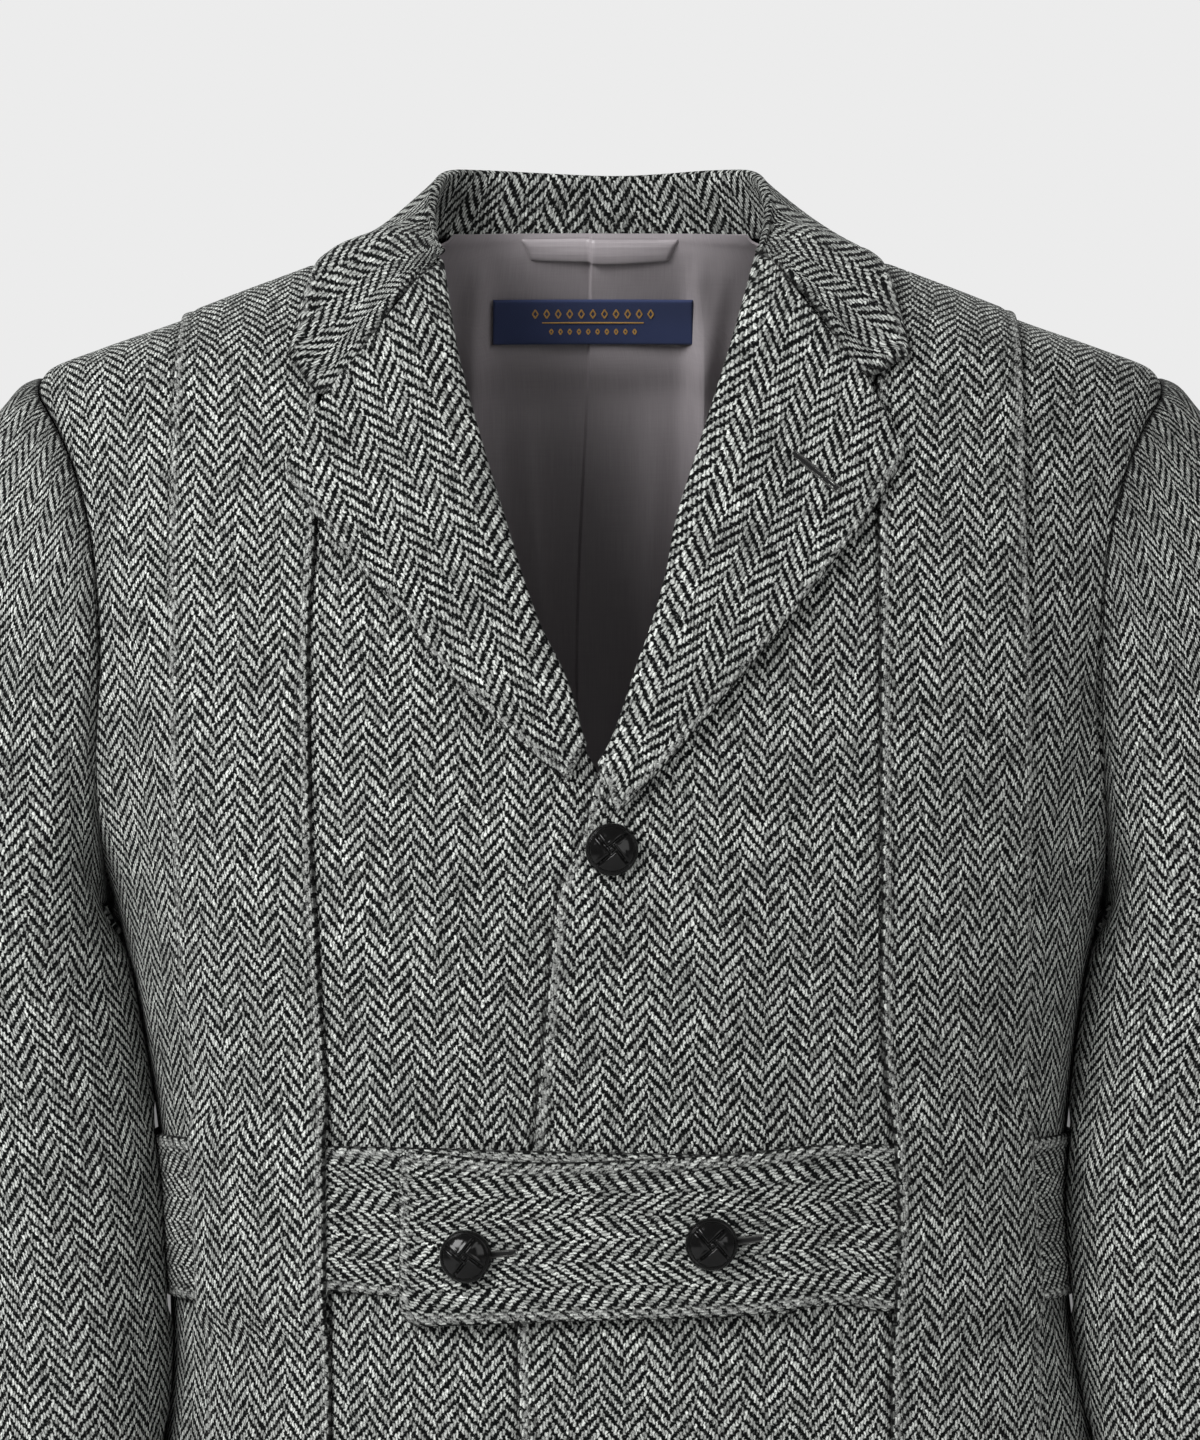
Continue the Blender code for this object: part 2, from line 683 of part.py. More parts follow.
def collar_station(index, hand):
    """One section of the collar: up the stand, over the fold and down the fall, on the visible face."""
    row = COLLAR[index]
    seam, fold, edge = (Vector((hand * row[k], row[k + 1], row[k + 2])) for k in (0, 3, 6))
    lift = COLLAR_LIFT[index]
    away = Vector((fold.x, max(fold.y, SEAM_GAP), 0.0)).normalized()
    fold_width = FOLD_WIDTH * min(1.0, (fold - seam).length / FULL_STAND)
    down = Vector((0, 0, -fold_width * FOLD_DROP))
    under = fold + down
    top = fold + away * fold_width / 2
    over = fold + away * fold_width + down
    points = [seam, mix(seam, under, STAND_MIDDLE), under, top, over]
    inwards = [away, away, away, Vector((0, 0, -1)), -away]
    last = index == len(COLLAR) - 1
    for number, part in enumerate(FALL_FRACTIONS):
        point = mix(over, edge, part)
        if last:
            corner = LAPEL_TOP[hand][number + 1] if number < 3 else (edge.x * hand, edge.z)
            point = form_point(hand * corner[0], corner[1] + GORGE_GAP, -1)
        point = clear_of_form(point, lift)
        points.append(point)
        inwards.append(-form_normal(point))
    return points, [point + inward * COLLAR_CLOTH for point, inward in zip(points, inwards)]


def build_collar(tweed):
    stations = [collar_station(index, -1) for index in range(len(COLLAR) - 1, -1, -1)]
    stations += [collar_station(index, 1) for index in range(1, len(COLLAR))]
    wall("collar", [outside for outside, _ in stations], [inside for _, inside in stations], tweed)


# Sleeves


def armhole_loop(grids, hand):
    """The armhole's seam from the shoulder point down the front, and back up."""
    first = len(LOWER_ROWS) - 1
    front = [row[-1] for row in grids[hand][0][first:]]
    back = [row[-1] for row in grids[hand][1][first:]]
    top = (front[-1] + back[-1]) / 2
    bottom = (front[0] + back[0]) / 2
    return [top] + front[-2:0:-1] + [bottom] + back[1:-1]


def sleeve_start(index, hand):
    """The way the sleeve leaves the armhole, and how fast, by its place round the armhole."""
    turn = 2 * math.pi * index / RING
    high, forward = math.cos(turn), math.sin(turn)
    out = HEAD_OUT[0] + HEAD_OUT[1] * high
    down = HEAD_DOWN[0] + HEAD_DOWN[1] * high
    return Vector((hand * out, -HEAD_FORWARD * forward, -down)), high


def sleeve_ring(row, hand):
    height, inner_x, shift, centre_y, across, deep = row
    centre_x = hand * (inner_x + across) + shift
    ring = []
    for index in range(RING):
        turn = 2 * math.pi * index / RING
        ring.append(Vector((
            centre_x + hand * across * math.cos(turn), centre_y - deep * math.sin(turn), height
        )))
    return ring


def sleeve_rings(grids, hand):
    """Rings of points from the armhole to the cuff, each from the shoulder round by the front."""
    loop = armhole_loop(grids, hand)
    upper, below = sleeve_ring(SLEEVE[0], hand), sleeve_ring(SLEEVE[1], hand)
    starts, ways = [], []
    for index, point in enumerate(loop):
        way, high = sleeve_start(index, hand)
        along = loop[(index + 1) % RING] - loop[index - 1]
        into_hole = form_normal(point).cross(along).normalized()
        if into_hole.dot(Vector((0, 0, ARMHOLE_CENTRE)) - Vector((0, point.y, point.z))) < 0:
            into_hole = -into_hole
        starts.append(point + into_hole * (SEAM_GAP + LAY_GAP / 2))
        arrive = (below[index] - upper[index]).normalized() * (HEAD_ARRIVE[0] + HEAD_ARRIVE[1] * high)
        ways.append((way, arrive))
    rings = []
    for step in range(HEAD_STEPS):
        t = step / HEAD_STEPS
        ring = []
        for start, end, (leave, arrive) in zip(starts, upper, ways):
            ring.append(
                start * (2 * t**3 - 3 * t**2 + 1) + leave * (t**3 - 2 * t**2 + t)
                + end * (3 * t**2 - 2 * t**3) + arrive * (t**3 - t**2)
            )
        if step > 0:
            ring = [clear_of_form(point, HEAD_CLEAR * t) for point in ring]
        rings.append(ring)
    rings.append([clear_of_form(point, HEAD_CLEAR) for point in upper])
    for row in SLEEVE[1:]:
        rings.append([clear_of_form(point, SLEEVE_CLEAR) for point in sleeve_ring(row, hand)])
    return rings


def sleeve_normals(rings, hand):
    normals = []
    last = len(rings) - 1
    for r, ring in enumerate(rings):
        line = []
        for index in range(RING):
            around = ring[(index + 1) % RING] - ring[index - 1]
            down = rings[min(r + 1, last)][index] - rings[max(r - 1, 0)][index]
            line.append((around.cross(down) * hand).normalized())
        normals.append(line)
    return normals


def ring_value(ring, place):
    """A value between two neighbours of a ring."""
    low = math.floor(place)
    return ring[low % RING].lerp(ring[(low + 1) % RING], place - low)


def build_sleeves(grids, tweed):
    for hand, word in ((1, "left"), (-1, "right")):
        rings = sleeve_rings(grids, hand)
        normals = sleeve_normals(rings, hand)
        for name, first, last in (
            ("top", UNDER_LAST - RING, UNDER_FIRST),
            ("under", UNDER_FIRST, UNDER_LAST),
        ):
            places = [first + SEAM_FRACTION, *range(first + 1, last), last - SEAM_FRACTION]
            outside = [[ring_value(ring, place) for place in places] for ring in rings]
            inside = [
                [point - ring_value(line, place).normalized() * TWEED for point, place in zip(row, places)]
                for row, line in zip(outside, normals)
            ]
            wall(f"sleeve_{name}_{word}", outside, inside, tweed)


# Lining, label and loop


def lining_depth(x, height):
    """How far inside the form the lining's face lies: the pleat's upper layer is nearer the front."""
    deep = -(TWEED + LINING_LIFT + LINING_NECK_LIFT * fade(height, *LINING_NECK))
    if x < PLEAT_TOP_LAYER - SEAM_GAP:
        return deep
    return deep - PLEAT_DEPTH * (1 - fade(x, PLEAT_TOP_LAYER, PLEAT_FADE))


def lining_x(x, height):
    """Draws the outer columns in where the form narrows to the neck."""
    kept = LABEL_COLUMNS[-1]
    if LABEL_COLUMNS[0] <= x <= kept:
        return x
    reach = min(LINING_HALF, LINING_REACH * table_value(FORM, height, HALF_WIDTH))
    return math.copysign(mix(kept, reach, (abs(x) - kept) / (LINING_HALF - kept)), x)


def build_lining(satin, navy):
    points = [[form_point(lining_x(x, height), height, 1) for x in LINING_COLUMNS] for height in LINING_ROWS]
    highs = [[lining_depth(point.x, point.z) for point in row] for row in points]
    lows = [[high - LINING_CLOTH for high in row] for row in highs]
    form_wall("lining_back", points, lows, highs, satin)

    label = [[form_point(x, height, 1) for x in LABEL_COLUMNS] for height in LABEL_ROWS]
    face = -(TWEED + LINING_LIFT + LINING_NECK_LIFT + PLEAT_DEPTH + LINING_CLOTH + SEAM_GAP)
    form_wall("neck_label", label, face - LABEL_CLOTH, face, navy)

    columns = [mix(-LOOP_HALF, LOOP_HALF, step / LOOP_STEPS) for step in range(LOOP_STEPS + 1)]
    loop = [[form_point(x, height, 1) for x in columns] for height in LOOP_HEIGHTS]
    offs = []
    for row in loop:
        seats = [lining_depth(point.x, point.z) - LINING_CLOTH - LOOP_SEAT for point in row]
        swells = [math.sin(math.pi * step / LOOP_STEPS) for step in range(LOOP_STEPS + 1)]
        offs.append([seat - LOOP_STAND_OFF * swell for seat, swell in zip(seats, swells)])
    form_wall("hanger_loop", loop, [[off - LOOP_CLOTH for off in row] for row in offs], offs, satin)


# Pockets and buttons


def build_pockets(grids, tweed):
    first = LOWER_ROWS.index(POCKET_BOTTOM)
    last = LOWER_ROWS.index(POCKET_TOP)
    start = FRONT_COLUMNS[0] + FRONT_COLUMNS[1]
    for hand, word in ((1, "left"), (-1, "right")):
        points = []
        for row in grids[hand][0][first : last + 1]:
            inner = row[start].lerp(row[start + 1], POCKET_INSET)
            points.append([form_point(inner.x, inner.z, -1), *row[start + 1 :]])
        form_wall(f"pocket_{word}", points, LAY_GAP, LAY_GAP + TWEED, tweed)


def button(name, x, height, base, look):
    """A dome on a flat back, standing on the cloth at its distance off the form."""
    profile = [(BUTTON_RADIUS * BUTTON_BACK, 0.0), (BUTTON_RADIUS, BUTTON_RIM)]
    for step in range(1, BUTTON_STEPS):
        turn = math.pi / 2 * step / BUTTON_STEPS
        profile.append((BUTTON_RADIUS * math.cos(turn), BUTTON_RIM + BUTTON_DOME * math.sin(turn)))
    mesh = bmesh.new()
    rings = []
    for radius, up in profile:
        turns = [2 * math.pi * step / BUTTON_SIDES for step in range(BUTTON_SIDES)]
        rings.append([mesh.verts.new((radius * math.cos(turn), radius * math.sin(turn), up)) for turn in turns])
    top = mesh.verts.new((0.0, 0.0, BUTTON_RIM + BUTTON_DOME))
    for k in range(BUTTON_SIDES):
        for low, high in zip(rings, rings[1:]):
            mesh.faces.new((low[k - 1], low[k], high[k], high[k - 1]))
        mesh.faces.new((rings[-1][k - 1], rings[-1][k], top))
    mesh.faces.new(rings[0][::-1])
    bmesh.ops.triangulate(mesh, faces=mesh.faces)
    data = bpy.data.meshes.new(name)
    mesh.to_mesh(data)
    mesh.free()
    data.shade_smooth()
    made = add_object(name, data, look)
    spot = form_point(x, height, -1)
    normal = form_normal(spot)
    made.location = spot + normal * base
    made.rotation_mode = "QUATERNION"
    made.rotation_quaternion = normal.to_track_quat("Z", "Y")


def build_buttons(leather):
    button("button_front", *FRONT_BUTTON, OVERLAP_LIFT + LAY_GAP, leather)
    on_belt = BELT_GAP + OVERLAP_LIFT + 2 * BELT_CLOTH + 3 * LAY_GAP
    for name, (x, height) in BELT_BUTTONS.items():
        button(name, x, height, on_belt, leather)


def build_jacket():
    for old in list(bpy.data.objects):
        bpy.data.objects.remove(old)
    collection = bpy.data.collections.new("norfolk_jacket")
    bpy.context.scene.collection.children.link(collection)
    tweed = material("tweed", TWEED_GREY, 0.95)
    satin = material("lining", LINING_GREY, 0.45)
    navy = material("label", LABEL_NAVY, 0.70)
    leather = material("leather", BUTTON_BLACK, 0.35)
    grids = build_panels(tweed)
    build_straps(grids, tweed)
    build_belt(grids, tweed)
    build_lapels(tweed)
    build_collar(tweed)
    build_sleeves(grids, tweed)
    build_pockets(grids, tweed)
    build_lining(satin, navy)
    build_buttons(leather)


build_jacket()
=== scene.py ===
"""The looks of a norfolk jacket in herringbone tweed, filled out as if worn, with nobody in it.

Sizes are in metres, in the frame of the solids: +X is the wearer's left, +Y their back, +Z up. The solids'
body is one form, a stack of rounded sections, and every cloth here is a fine grid on that same form, pushed
out or in along its normals for the folds, turned edges and sewn lines. A hand of 1 is the wearer's left, -1
the wearer's right. A grid is an array of rows, columns and coordinates. Its flat coordinates, in metres of
cloth, carry the weave.
"""

import math

import bmesh
import bpy
import numpy as np
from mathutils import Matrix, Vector


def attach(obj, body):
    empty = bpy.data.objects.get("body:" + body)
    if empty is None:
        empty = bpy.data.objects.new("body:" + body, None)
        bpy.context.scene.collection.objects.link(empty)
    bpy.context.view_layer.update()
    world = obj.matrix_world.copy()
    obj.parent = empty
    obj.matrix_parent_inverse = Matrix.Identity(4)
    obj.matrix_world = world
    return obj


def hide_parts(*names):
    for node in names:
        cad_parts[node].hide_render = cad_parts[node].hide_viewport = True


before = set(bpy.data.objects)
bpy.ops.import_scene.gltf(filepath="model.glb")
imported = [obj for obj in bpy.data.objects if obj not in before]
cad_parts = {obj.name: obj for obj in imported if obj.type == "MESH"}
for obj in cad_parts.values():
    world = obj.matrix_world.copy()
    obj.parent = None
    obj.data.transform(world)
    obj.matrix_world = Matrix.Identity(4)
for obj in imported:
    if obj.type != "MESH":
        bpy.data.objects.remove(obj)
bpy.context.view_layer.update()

HANDS = {1: "left", -1: "right"}
SIDES = {-1: "front", 1: "back"}

# Cloth, as in the solids
TWEED = 0.0022
BELT_CLOTH = 0.0026
LAPEL_CLOTH = 0.0026
COLLAR_CLOTH = 0.0020
LINING_CLOTH = 0.0010
LABEL_CLOTH = 0.0010
SEAM_GAP = 0.0003
LAY_GAP = 0.0004
BELT_GAP = 0.0008

# Edges and sewing: the least thickness, the radii of turned edges, and rows of stitches in from an edge
THINNEST = 0.0001
TURNED = 0.0026
PANEL_TURNED = 0.0022
COLLAR_TURNED = 0.0024
GORGE_TURNED = 0.0018
STRAP_TURNED = 0.0014
STRAP_END_TURNED = 0.0016
SEAM_WIDTH = 0.0011
FINE_SEAM_WIDTH = 0.0010
STITCH_WIDTH = 0.0007
WIDE_STITCH = 0.0008
STITCH_DEPTH = 0.0005
FRONT_STITCH_INSET = 0.0062
STRAP_STITCH_INSET = 0.0046
BELT_STITCH_INSET = 0.0054
LAPEL_STITCH_INSET = 0.0058
POCKET_STITCH_INSET = 0.0050
POCKET_STITCH_WIDTH = 0.0020
# How wide a rubbed band an edge has
FRONT_RUB = 0.0034
STRAP_RUB = 0.0026
BELT_RUB = 0.0034
LAPEL_RUB = 0.0030
COLLAR_RUB = 0.0028

# The form's sections, from the hem to the neck. Roundness 2 would be an ellipse.
POWER = 2.4
FORM = (
    # height, half_width, front_depth, back_depth, centre_x, centre_y
    (-0.730, 0.214, 0.128, 0.122, 0.012, 0.000),
    (-0.600, 0.205, 0.126, 0.114, 0.012, 0.000),
    (-0.487, 0.193, 0.122, 0.101, 0.012, 0.000),
    (-0.440, 0.187, 0.118, 0.095, 0.009, 0.000),
    (-0.395, 0.186, 0.117, 0.092, 0.006, 0.000),
    (-0.350, 0.190, 0.121, 0.095, 0.005, 0.000),
    (-0.305, 0.197, 0.127, 0.102, 0.004, 0.000),
    (-0.262, 0.206, 0.131, 0.108, 0.003, 0.000),
    (-0.190, 0.224, 0.128, 0.110, 0.000, 0.002),
    (-0.110, 0.236, 0.112, 0.104, 0.000, 0.004),
    (-0.060, 0.238, 0.093, 0.093, 0.000, 0.006),
    (-0.046, 0.230, 0.086, 0.087, 0.000, 0.007),
    (-0.037, 0.209, 0.080, 0.081, 0.000, 0.007),
    (-0.026, 0.178, 0.071, 0.075, 0.000, 0.008),
    (-0.016, 0.152, 0.062, 0.069, 0.000, 0.009),
    (-0.007, 0.128, 0.054, 0.062, 0.000, 0.010),
    (0.002, 0.105, 0.045, 0.054, 0.000, 0.011),
    (0.009, 0.087, 0.037, 0.049, 0.000, 0.011),
    (0.016, 0.070, 0.030, 0.045, 0.000, 0.012),
)

HEM = -0.730
POCKET_TOP = -0.487
POCKET_BOTTOM = -0.670
BELT_BOTTOM = -0.4275
BELT_TOP = -0.3605
UNDERARM = -0.262
SHOULDER_POINT = -0.048
ARMHOLE_CENTRE = (SHOULDER_POINT + UNDERARM) / 2
ARMHOLE_HALF_HEIGHT = (SHOULDER_POINT - UNDERARM) / 2
ARMHOLE_FRONT = 0.070
ARMHOLE_BACK = 0.076
NECK_POINT_X = 0.0895
NECK_POINT_HEIGHT = 0.008
BACK_NECK_HEIGHT = 0.012
STRAP_TOP_INNER = 0.113
STRAP_TOP_OUTER = 0.172

# The front edge and roll line: x towards that hand, by height
FRONT_EDGE = {
    1: (
        (HEM, 0.002), (-0.700, -0.022), (-0.670, -0.031), (-0.474, -0.032), (-0.432, -0.033),
        (-0.358, -0.0266), (-0.311, -0.0218), (-0.273, -0.0186), (-0.258, -0.0162), (-0.240, -0.0083),
        (-0.2116, -0.0008), (-0.198, 0.0063), (-0.164, 0.0179), (-0.143, 0.0254), (-0.106, 0.0331),
        (-0.078, 0.0425),
        (-0.050, 0.0512), (-0.022, 0.0595), (0.000, 0.0648), (NECK_POINT_HEIGHT, NECK_POINT_X),
    ),
    -1: (
        (HEM, 0.006), (-0.700, -0.014), (-0.670, -0.022), (-0.270, -0.022), (-0.245, -0.018),
        (-0.228, -0.008), (-0.2116, 0.0008), (-0.198, 0.0079), (-0.1795, 0.0127), (-0.149, 0.0270),
        (-0.106, 0.0407),
        (-0.072, 0.0510), (-0.033, 0.0608), (0.000, 0.0650), (NECK_POINT_HEIGHT, NECK_POINT_X),
    ),
}
# Straps: height, inner x, outer x
FRONT_STRAP = {
    1: (
        (HEM, 0.118, 0.180), (-0.474, 0.1161, 0.177), (-0.440, 0.1159, 0.1765), (-0.394, 0.1176, 0.1735),
        (-0.355, 0.1158, 0.1714), (-0.3025, 0.1115, 0.1733), (-0.199, 0.1114, 0.1732),
        (-0.095, 0.1110, 0.1710),
        (0.010, STRAP_TOP_INNER, STRAP_TOP_OUTER),
    ),
    -1: (
        (HEM, 0.111, 0.163), (-0.474, 0.1075, 0.159), (-0.420, 0.1081, 0.1600), (-0.357, 0.1083, 0.1630),
        (-0.296, 0.1111, 0.1680), (-0.230, 0.1145, 0.1710), (-0.160, 0.1159, 0.1728),
        (-0.110, 0.1133, 0.1735),
        (0.010, STRAP_TOP_INNER, STRAP_TOP_OUTER),
    ),
}
BACK_STRAP = (
    (HEM, 0.088, 0.146), (-0.487, 0.080, 0.137), (-0.394, 0.074, 0.129), (-0.262, 0.084, 0.143),
    (-0.110, 0.103, 0.163), (0.010, STRAP_TOP_INNER, STRAP_TOP_OUTER),
)

# Where the left front lies over the right one it is lifted, and the belt clears both
OVERLAP_END = 0.048
OVERLAP_FADE = 0.085
OVERLAP_LIFT = TWEED + 0.0008
BELT_STEP = -0.044
BELT_STEP_FADE = -0.0715
OVER_BELT_END = -0.0790
UNDER_BELT_END = 0.076
BELT_SWAP_START = 0.079
BELT_SWAP_FADE = 0.097
BELT_STRAY = {
    # x, how far the lower and the upper edge stray from level
    1: (
        (OVER_BELT_END, -0.0055, -0.0005), (-0.020, -0.0025, -0.0050), (0.051, -0.0005, -0.0015),
        (0.094, 0.0030, 0.0010), (0.112, 0.0, 0.0),
    ),
    -1: ((-0.108, 0.0079, -0.0005), (-0.0715, 0.0060, -0.0005), (UNDER_BELT_END, 0.0, -0.0030)),
}

# Lapels: height on the roll line, then the outer edge that it is paired with
LAPEL = {
    1: (
        (-0.2085, 0.0060, -0.2293), (-0.2000, 0.0198, -0.2159), (-0.1880, 0.0427, -0.1898),
        (-0.1720, 0.0594, -0.1700), (-0.1540, 0.0780, -0.1475), (-0.1340, 0.0957, -0.1248),
        (-0.1120, 0.1063, -0.1111), (-0.0850, 0.1165, -0.0960), (-0.0500, 0.1210, -0.0885),
        (-0.0270, 0.1214, -0.0863),
    ),
    -1: (
        (-0.2010, 0.0120, -0.2165), (-0.1940, 0.0280, -0.2035), (-0.1840, 0.0430, -0.1900),
        (-0.1700, 0.0662, -0.1664), (-0.1540, 0.0780, -0.1490), (-0.1340, 0.0950, -0.1325),
        (-0.1120, 0.1080, -0.1170), (-0.0850, 0.1200, -0.1020), (-0.0500, 0.1252, -0.0965),
        (-0.0290, 0.1257, -0.0943),
    ),
}
LAPEL_TOP = {
    # x, height: the roll line, two points of the seam to the collar, the notch, the lapel's tip
    1: ((0.0650, -0.0012), (0.0800, -0.0205), (0.0925, -0.0370), (0.1060, -0.0550), (0.1216, -0.0842)),
    -1: ((0.0655, -0.0040), (0.0805, -0.0240), (0.0945, -0.0430), (0.1100, -0.0625), (0.1259, -0.0923)),
}
LAPEL_LIFT = 0.0034
ROLL_LIFT = 0.0012
LAPEL_PARTS = (0.0, 0.16, 0.52, 0.78, 1.0)
LAPEL_OVERLAP_EDGE = -0.004

# Collar: the neck seam, the fold and the fall's outer edge, from the centre of the back to the front
COLLAR = (
    # seam_x, seam_y, seam_z, fold_x, fold_y, fold_z, edge_x, edge_y, edge_z
    (0.000, 0.0530, 0.0128, 0.000, 0.058, 0.0415, 0.000, 0.074, -0.004),
    (0.034, 0.0500, 0.0128, 0.027, 0.056, 0.0418, 0.042, 0.070, -0.004),
    (0.058, 0.0400, 0.0124, 0.048, 0.049, 0.0422, 0.079, 0.056, -0.002),
    (0.073, 0.0250, 0.0115, 0.061, 0.034, 0.0410, 0.098, 0.036, 0.001),
    (0.080, 0.0110, 0.0098, 0.0660, 0.016, 0.0350, 0.1070, 0.014, 0.003),
    (0.078, -0.004, 0.0070, 0.0680, 0.000, 0.0250, 0.1115, -0.012, -0.006),
    (0.072, -0.018, 0.0030, 0.0670, -0.014, 0.0135, 0.1170, -0.034, -0.021),
    (0.0665, -0.028, 0.0000, 0.0655, -0.030, 0.0020, 0.1245, -0.060, -0.0465),
)
COLLAR_LIFT = (0.0028, 0.0028, 0.0028, 0.0029, 0.0034, 0.0052, 0.0064, 0.0066)
FOLD_WIDTH = 0.0062
FOLD_DROP = 0.45
FULL_STAND = 0.014
STAND_MIDDLE = 0.55
GORGE_GAP = 0.0006
# How far the stand's weave is drawn out, and the grid columns between two of a station's points
STAND_STRETCH = 1.28
COLLAR_STEPS = 8
FALL_PARTS = (0.27, 0.52, 0.78, 1.0)

# Sleeves: rings from above the elbow to the cuff
SLEEVE = (
    # height, inner_x, shift_x, centre_y, half_width, half_depth
    (-0.300, 0.1900, 0.0040, -0.010, 0.0540, 0.0670),
    (-0.345, 0.1850, 0.0045, -0.014, 0.0530, 0.0645),
    (-0.390, 0.1815, 0.0060, -0.017, 0.0520, 0.0620),
    (-0.435, 0.1820, 0.0085, -0.020, 0.0505, 0.0600),
    (-0.480, 0.1865, 0.0110, -0.024, 0.0485, 0.0575),
    (-0.530, 0.1930, 0.0120, -0.029, 0.0460, 0.0550),
    (-0.585, 0.1985, 0.0120, -0.036, 0.0430, 0.0510),
    (-0.640, 0.2030, 0.0120, -0.044, 0.0400, 0.0480),
)
# How far the hanging sleeve stays off the form: over the plain body, and past the belt and the pocket
SLEEVE_CLEAR = 0.0016
SLEEVE_CLEAR_OVER = 0.0044
# How fast the sleeve leaves the armhole, at its underarm and how much more at its top
HEAD_OUT = (0.020, 0.140)
HEAD_FORWARD = 0.020
HEAD_DOWN = (0.050, 0.022)
HEAD_ARRIVE = (0.050, 0.170)
# The arm's middle at the shoulder point, for the flat coordinates
ARM_TOP = (0.232, 0.002)
SLEEVE_SEAMS = (1 / 3, 2 / 3)
TOP_COLUMNS = 120
UNDER_COLUMNS = 64

# Inside the back
LINING_HALF = 0.150
LINING_REACH = 0.64
LINING_NECK_REACH = 0.95
LINING_ROWS = (-0.700, 0.0162)
LINING_LIFT = 0.0024
LINING_NECK_LIFT = 0.0010
LINING_NECK = (-0.030, 0.007)
PLEAT_TOP_LAYER = -0.0040
PLEAT_FADE = 0.0404
PLEAT_DEPTH = 0.0022
LABEL_X = (-0.0465, 0.0404)
LABEL_Z = (-0.0262, -0.0062)
LOOP_HALF = 0.035
LOOP_Z = (0.0085, 0.0158)
LOOP_CLOTH = 0.0012
LOOP_STAND_OFF = 0.0022
LOOP_SLANT = 0.0048
LOOP_STITCH_INSET = 0.0014
LOOP_STITCH_WIDTH = 0.0004
LOOP_STITCH_DEPTH = 0.0003
# The label's gold marks: rows of diamonds above and below a rule, with their height, half length and size
DIAMONDS = ((0.0042, 0.0250, 0.0024), (-0.0042, 0.0180, 0.0015))
DIAMONDS_IN_ROW = 11
DIAMOND_THREAD = 0.00028
RULE_HALF = 0.022
RULE_THREAD = 0.00022

# Buttons and buttonholes
BUTTON_RADIUS = 0.0105
BUTTON_DOME = 0.0062
BUTTON_RIM = 0.0018
GROOVE_DEPTH = 0.00090
PAD_RISE = 0.00022
RING_DEPTH = 0.0006
# In shares of the button's radius
PLAIT_OFFSET = 0.13
GROOVE_WIDTH = 0.052
PAD_PLACE = 0.11
PAD_WIDTH = 0.05
RING_PLACE = 0.86
RING_WIDTH = 0.030
FRONT_BUTTON = (0.0047, -0.2424)
BELT_BUTTONS = {"button_belt_outer": (-0.0517, -0.4036), "button_belt_inner": (0.0434, -0.3986)}
BELT_HOLES = {
    "belt_hole_outer": ((-0.0430, -0.4032), (-0.0332, -0.4020)),
    "belt_hole_inner": ((0.0522, -0.3980), (0.0626, -0.3966)),
}
BELT_HOLE_HALF = 0.0011
LAPEL_HOLE = ((0.0766, -0.0868), (0.0940, -0.1010))
LAPEL_HOLE_HALF = 0.0012
HOLE_SINK = 0.0001
HOLE_THREAD = 0.00034
HOLE_WHIP = 0.0007

# The weave: a 2/2 twill that turns about every eight warp ends
WARP_PITCH = 0.00117
WEFT_PITCH = 0.00138
ENDS_A_STRIPE = 8
STITCH_PITCH = 0.0058
# How far each piece's weave is shifted across and along, so that it doesn't run on from the cloth beneath
STRAP_SHIFT = (0.0041, 0.0023)
BELT_SHIFT = (0.0047, 0.0)
COLLAR_SHIFT = 0.0044
POCKET_SHIFT = (0.0053, 0.0031)

# The view: a level camera, and the size of one of the photograph's pixels at the jacket
CAMERA_DISTANCE = 2.6
CAMERA_HEIGHT = -0.191
PIXEL = 0.0004163
PHOTO_ROWS = 1440
SENSOR = 36.0


def curve(rows, column):
    """A table's column as a function of its first column, along a smooth curve that doesn't overshoot."""
    keys = np.array([row[0] for row in rows])
    values = np.array([row[column] for row in rows])
    steps = np.diff(keys)
    rises = np.diff(values) / steps
    inner = [0.0 if a * b <= 0 else 2 * a * b / (a + b) for a, b in zip(rises, rises[1:])]
    slopes = np.array([rises[0], *inner, rises[-1]])

    def read(key):
        key = np.clip(key, keys[0], keys[-1])
        low = np.clip(np.searchsorted(keys, key, side="right") - 1, 0, len(steps) - 1)
        step = steps[low]
        t = (key - keys[low]) / step
        bend = (t**3 - 2 * t**2 + t) * slopes[low] + (t**3 - t**2) * slopes[low + 1]
        return values[low] + (3 * t**2 - 2 * t**3) * (values[low + 1] - values[low]) + bend * step

    return read


def fade(value, start, end):
    """0 at start, 1 at end, and smooth between them."""
    t = np.clip((value - start) / (end - start), 0.0, 1.0)
    return t * t * (3 - 2 * t)


def mix(start, end, t):
    return start + (end - start) * t


def unit(vectors):
    return vectors / np.maximum(np.linalg.norm(vectors, axis=-1, keepdims=True), 1e-12)


half_width, front_depth, back_depth, centre_x, centre_y = (curve(FORM, column) for column in range(1, 6))


# The form


def fullness(points):
    """1 on the form's surface, less inside it and more outside."""
    x, y, z = np.moveaxis(points, -1, 0)
    depth = np.where(y < centre_y(z), front_depth(z), back_depth(z))
    return (np.abs(x - centre_x(z)) / half_width(z)) ** POWER + (np.abs(y - centre_y(z)) / depth) ** POWER


def form_normals(points):
    step = 0.0004
    steps = [fullness(points + step * axis) - fullness(points - step * axis) for axis in np.eye(3)]
    return unit(np.stack(steps, -1))


def form_points(x, z, side):
    """The form's points at x and z, on its front (side -1) or its back (side 1)."""
    x, z = np.broadcast_arrays(np.asarray(x, float), np.asarray(z, float))
    across = np.minimum(np.abs(x - centre_x(z)) / half_width(z), 1.0)
    depth = front_depth(z) if side < 0 else back_depth(z)
    out = depth * (1 - across**POWER) ** (1 / POWER)
    return np.stack([x, centre_y(z) + side * np.maximum(out, SEAM_GAP / 2), z], -1)


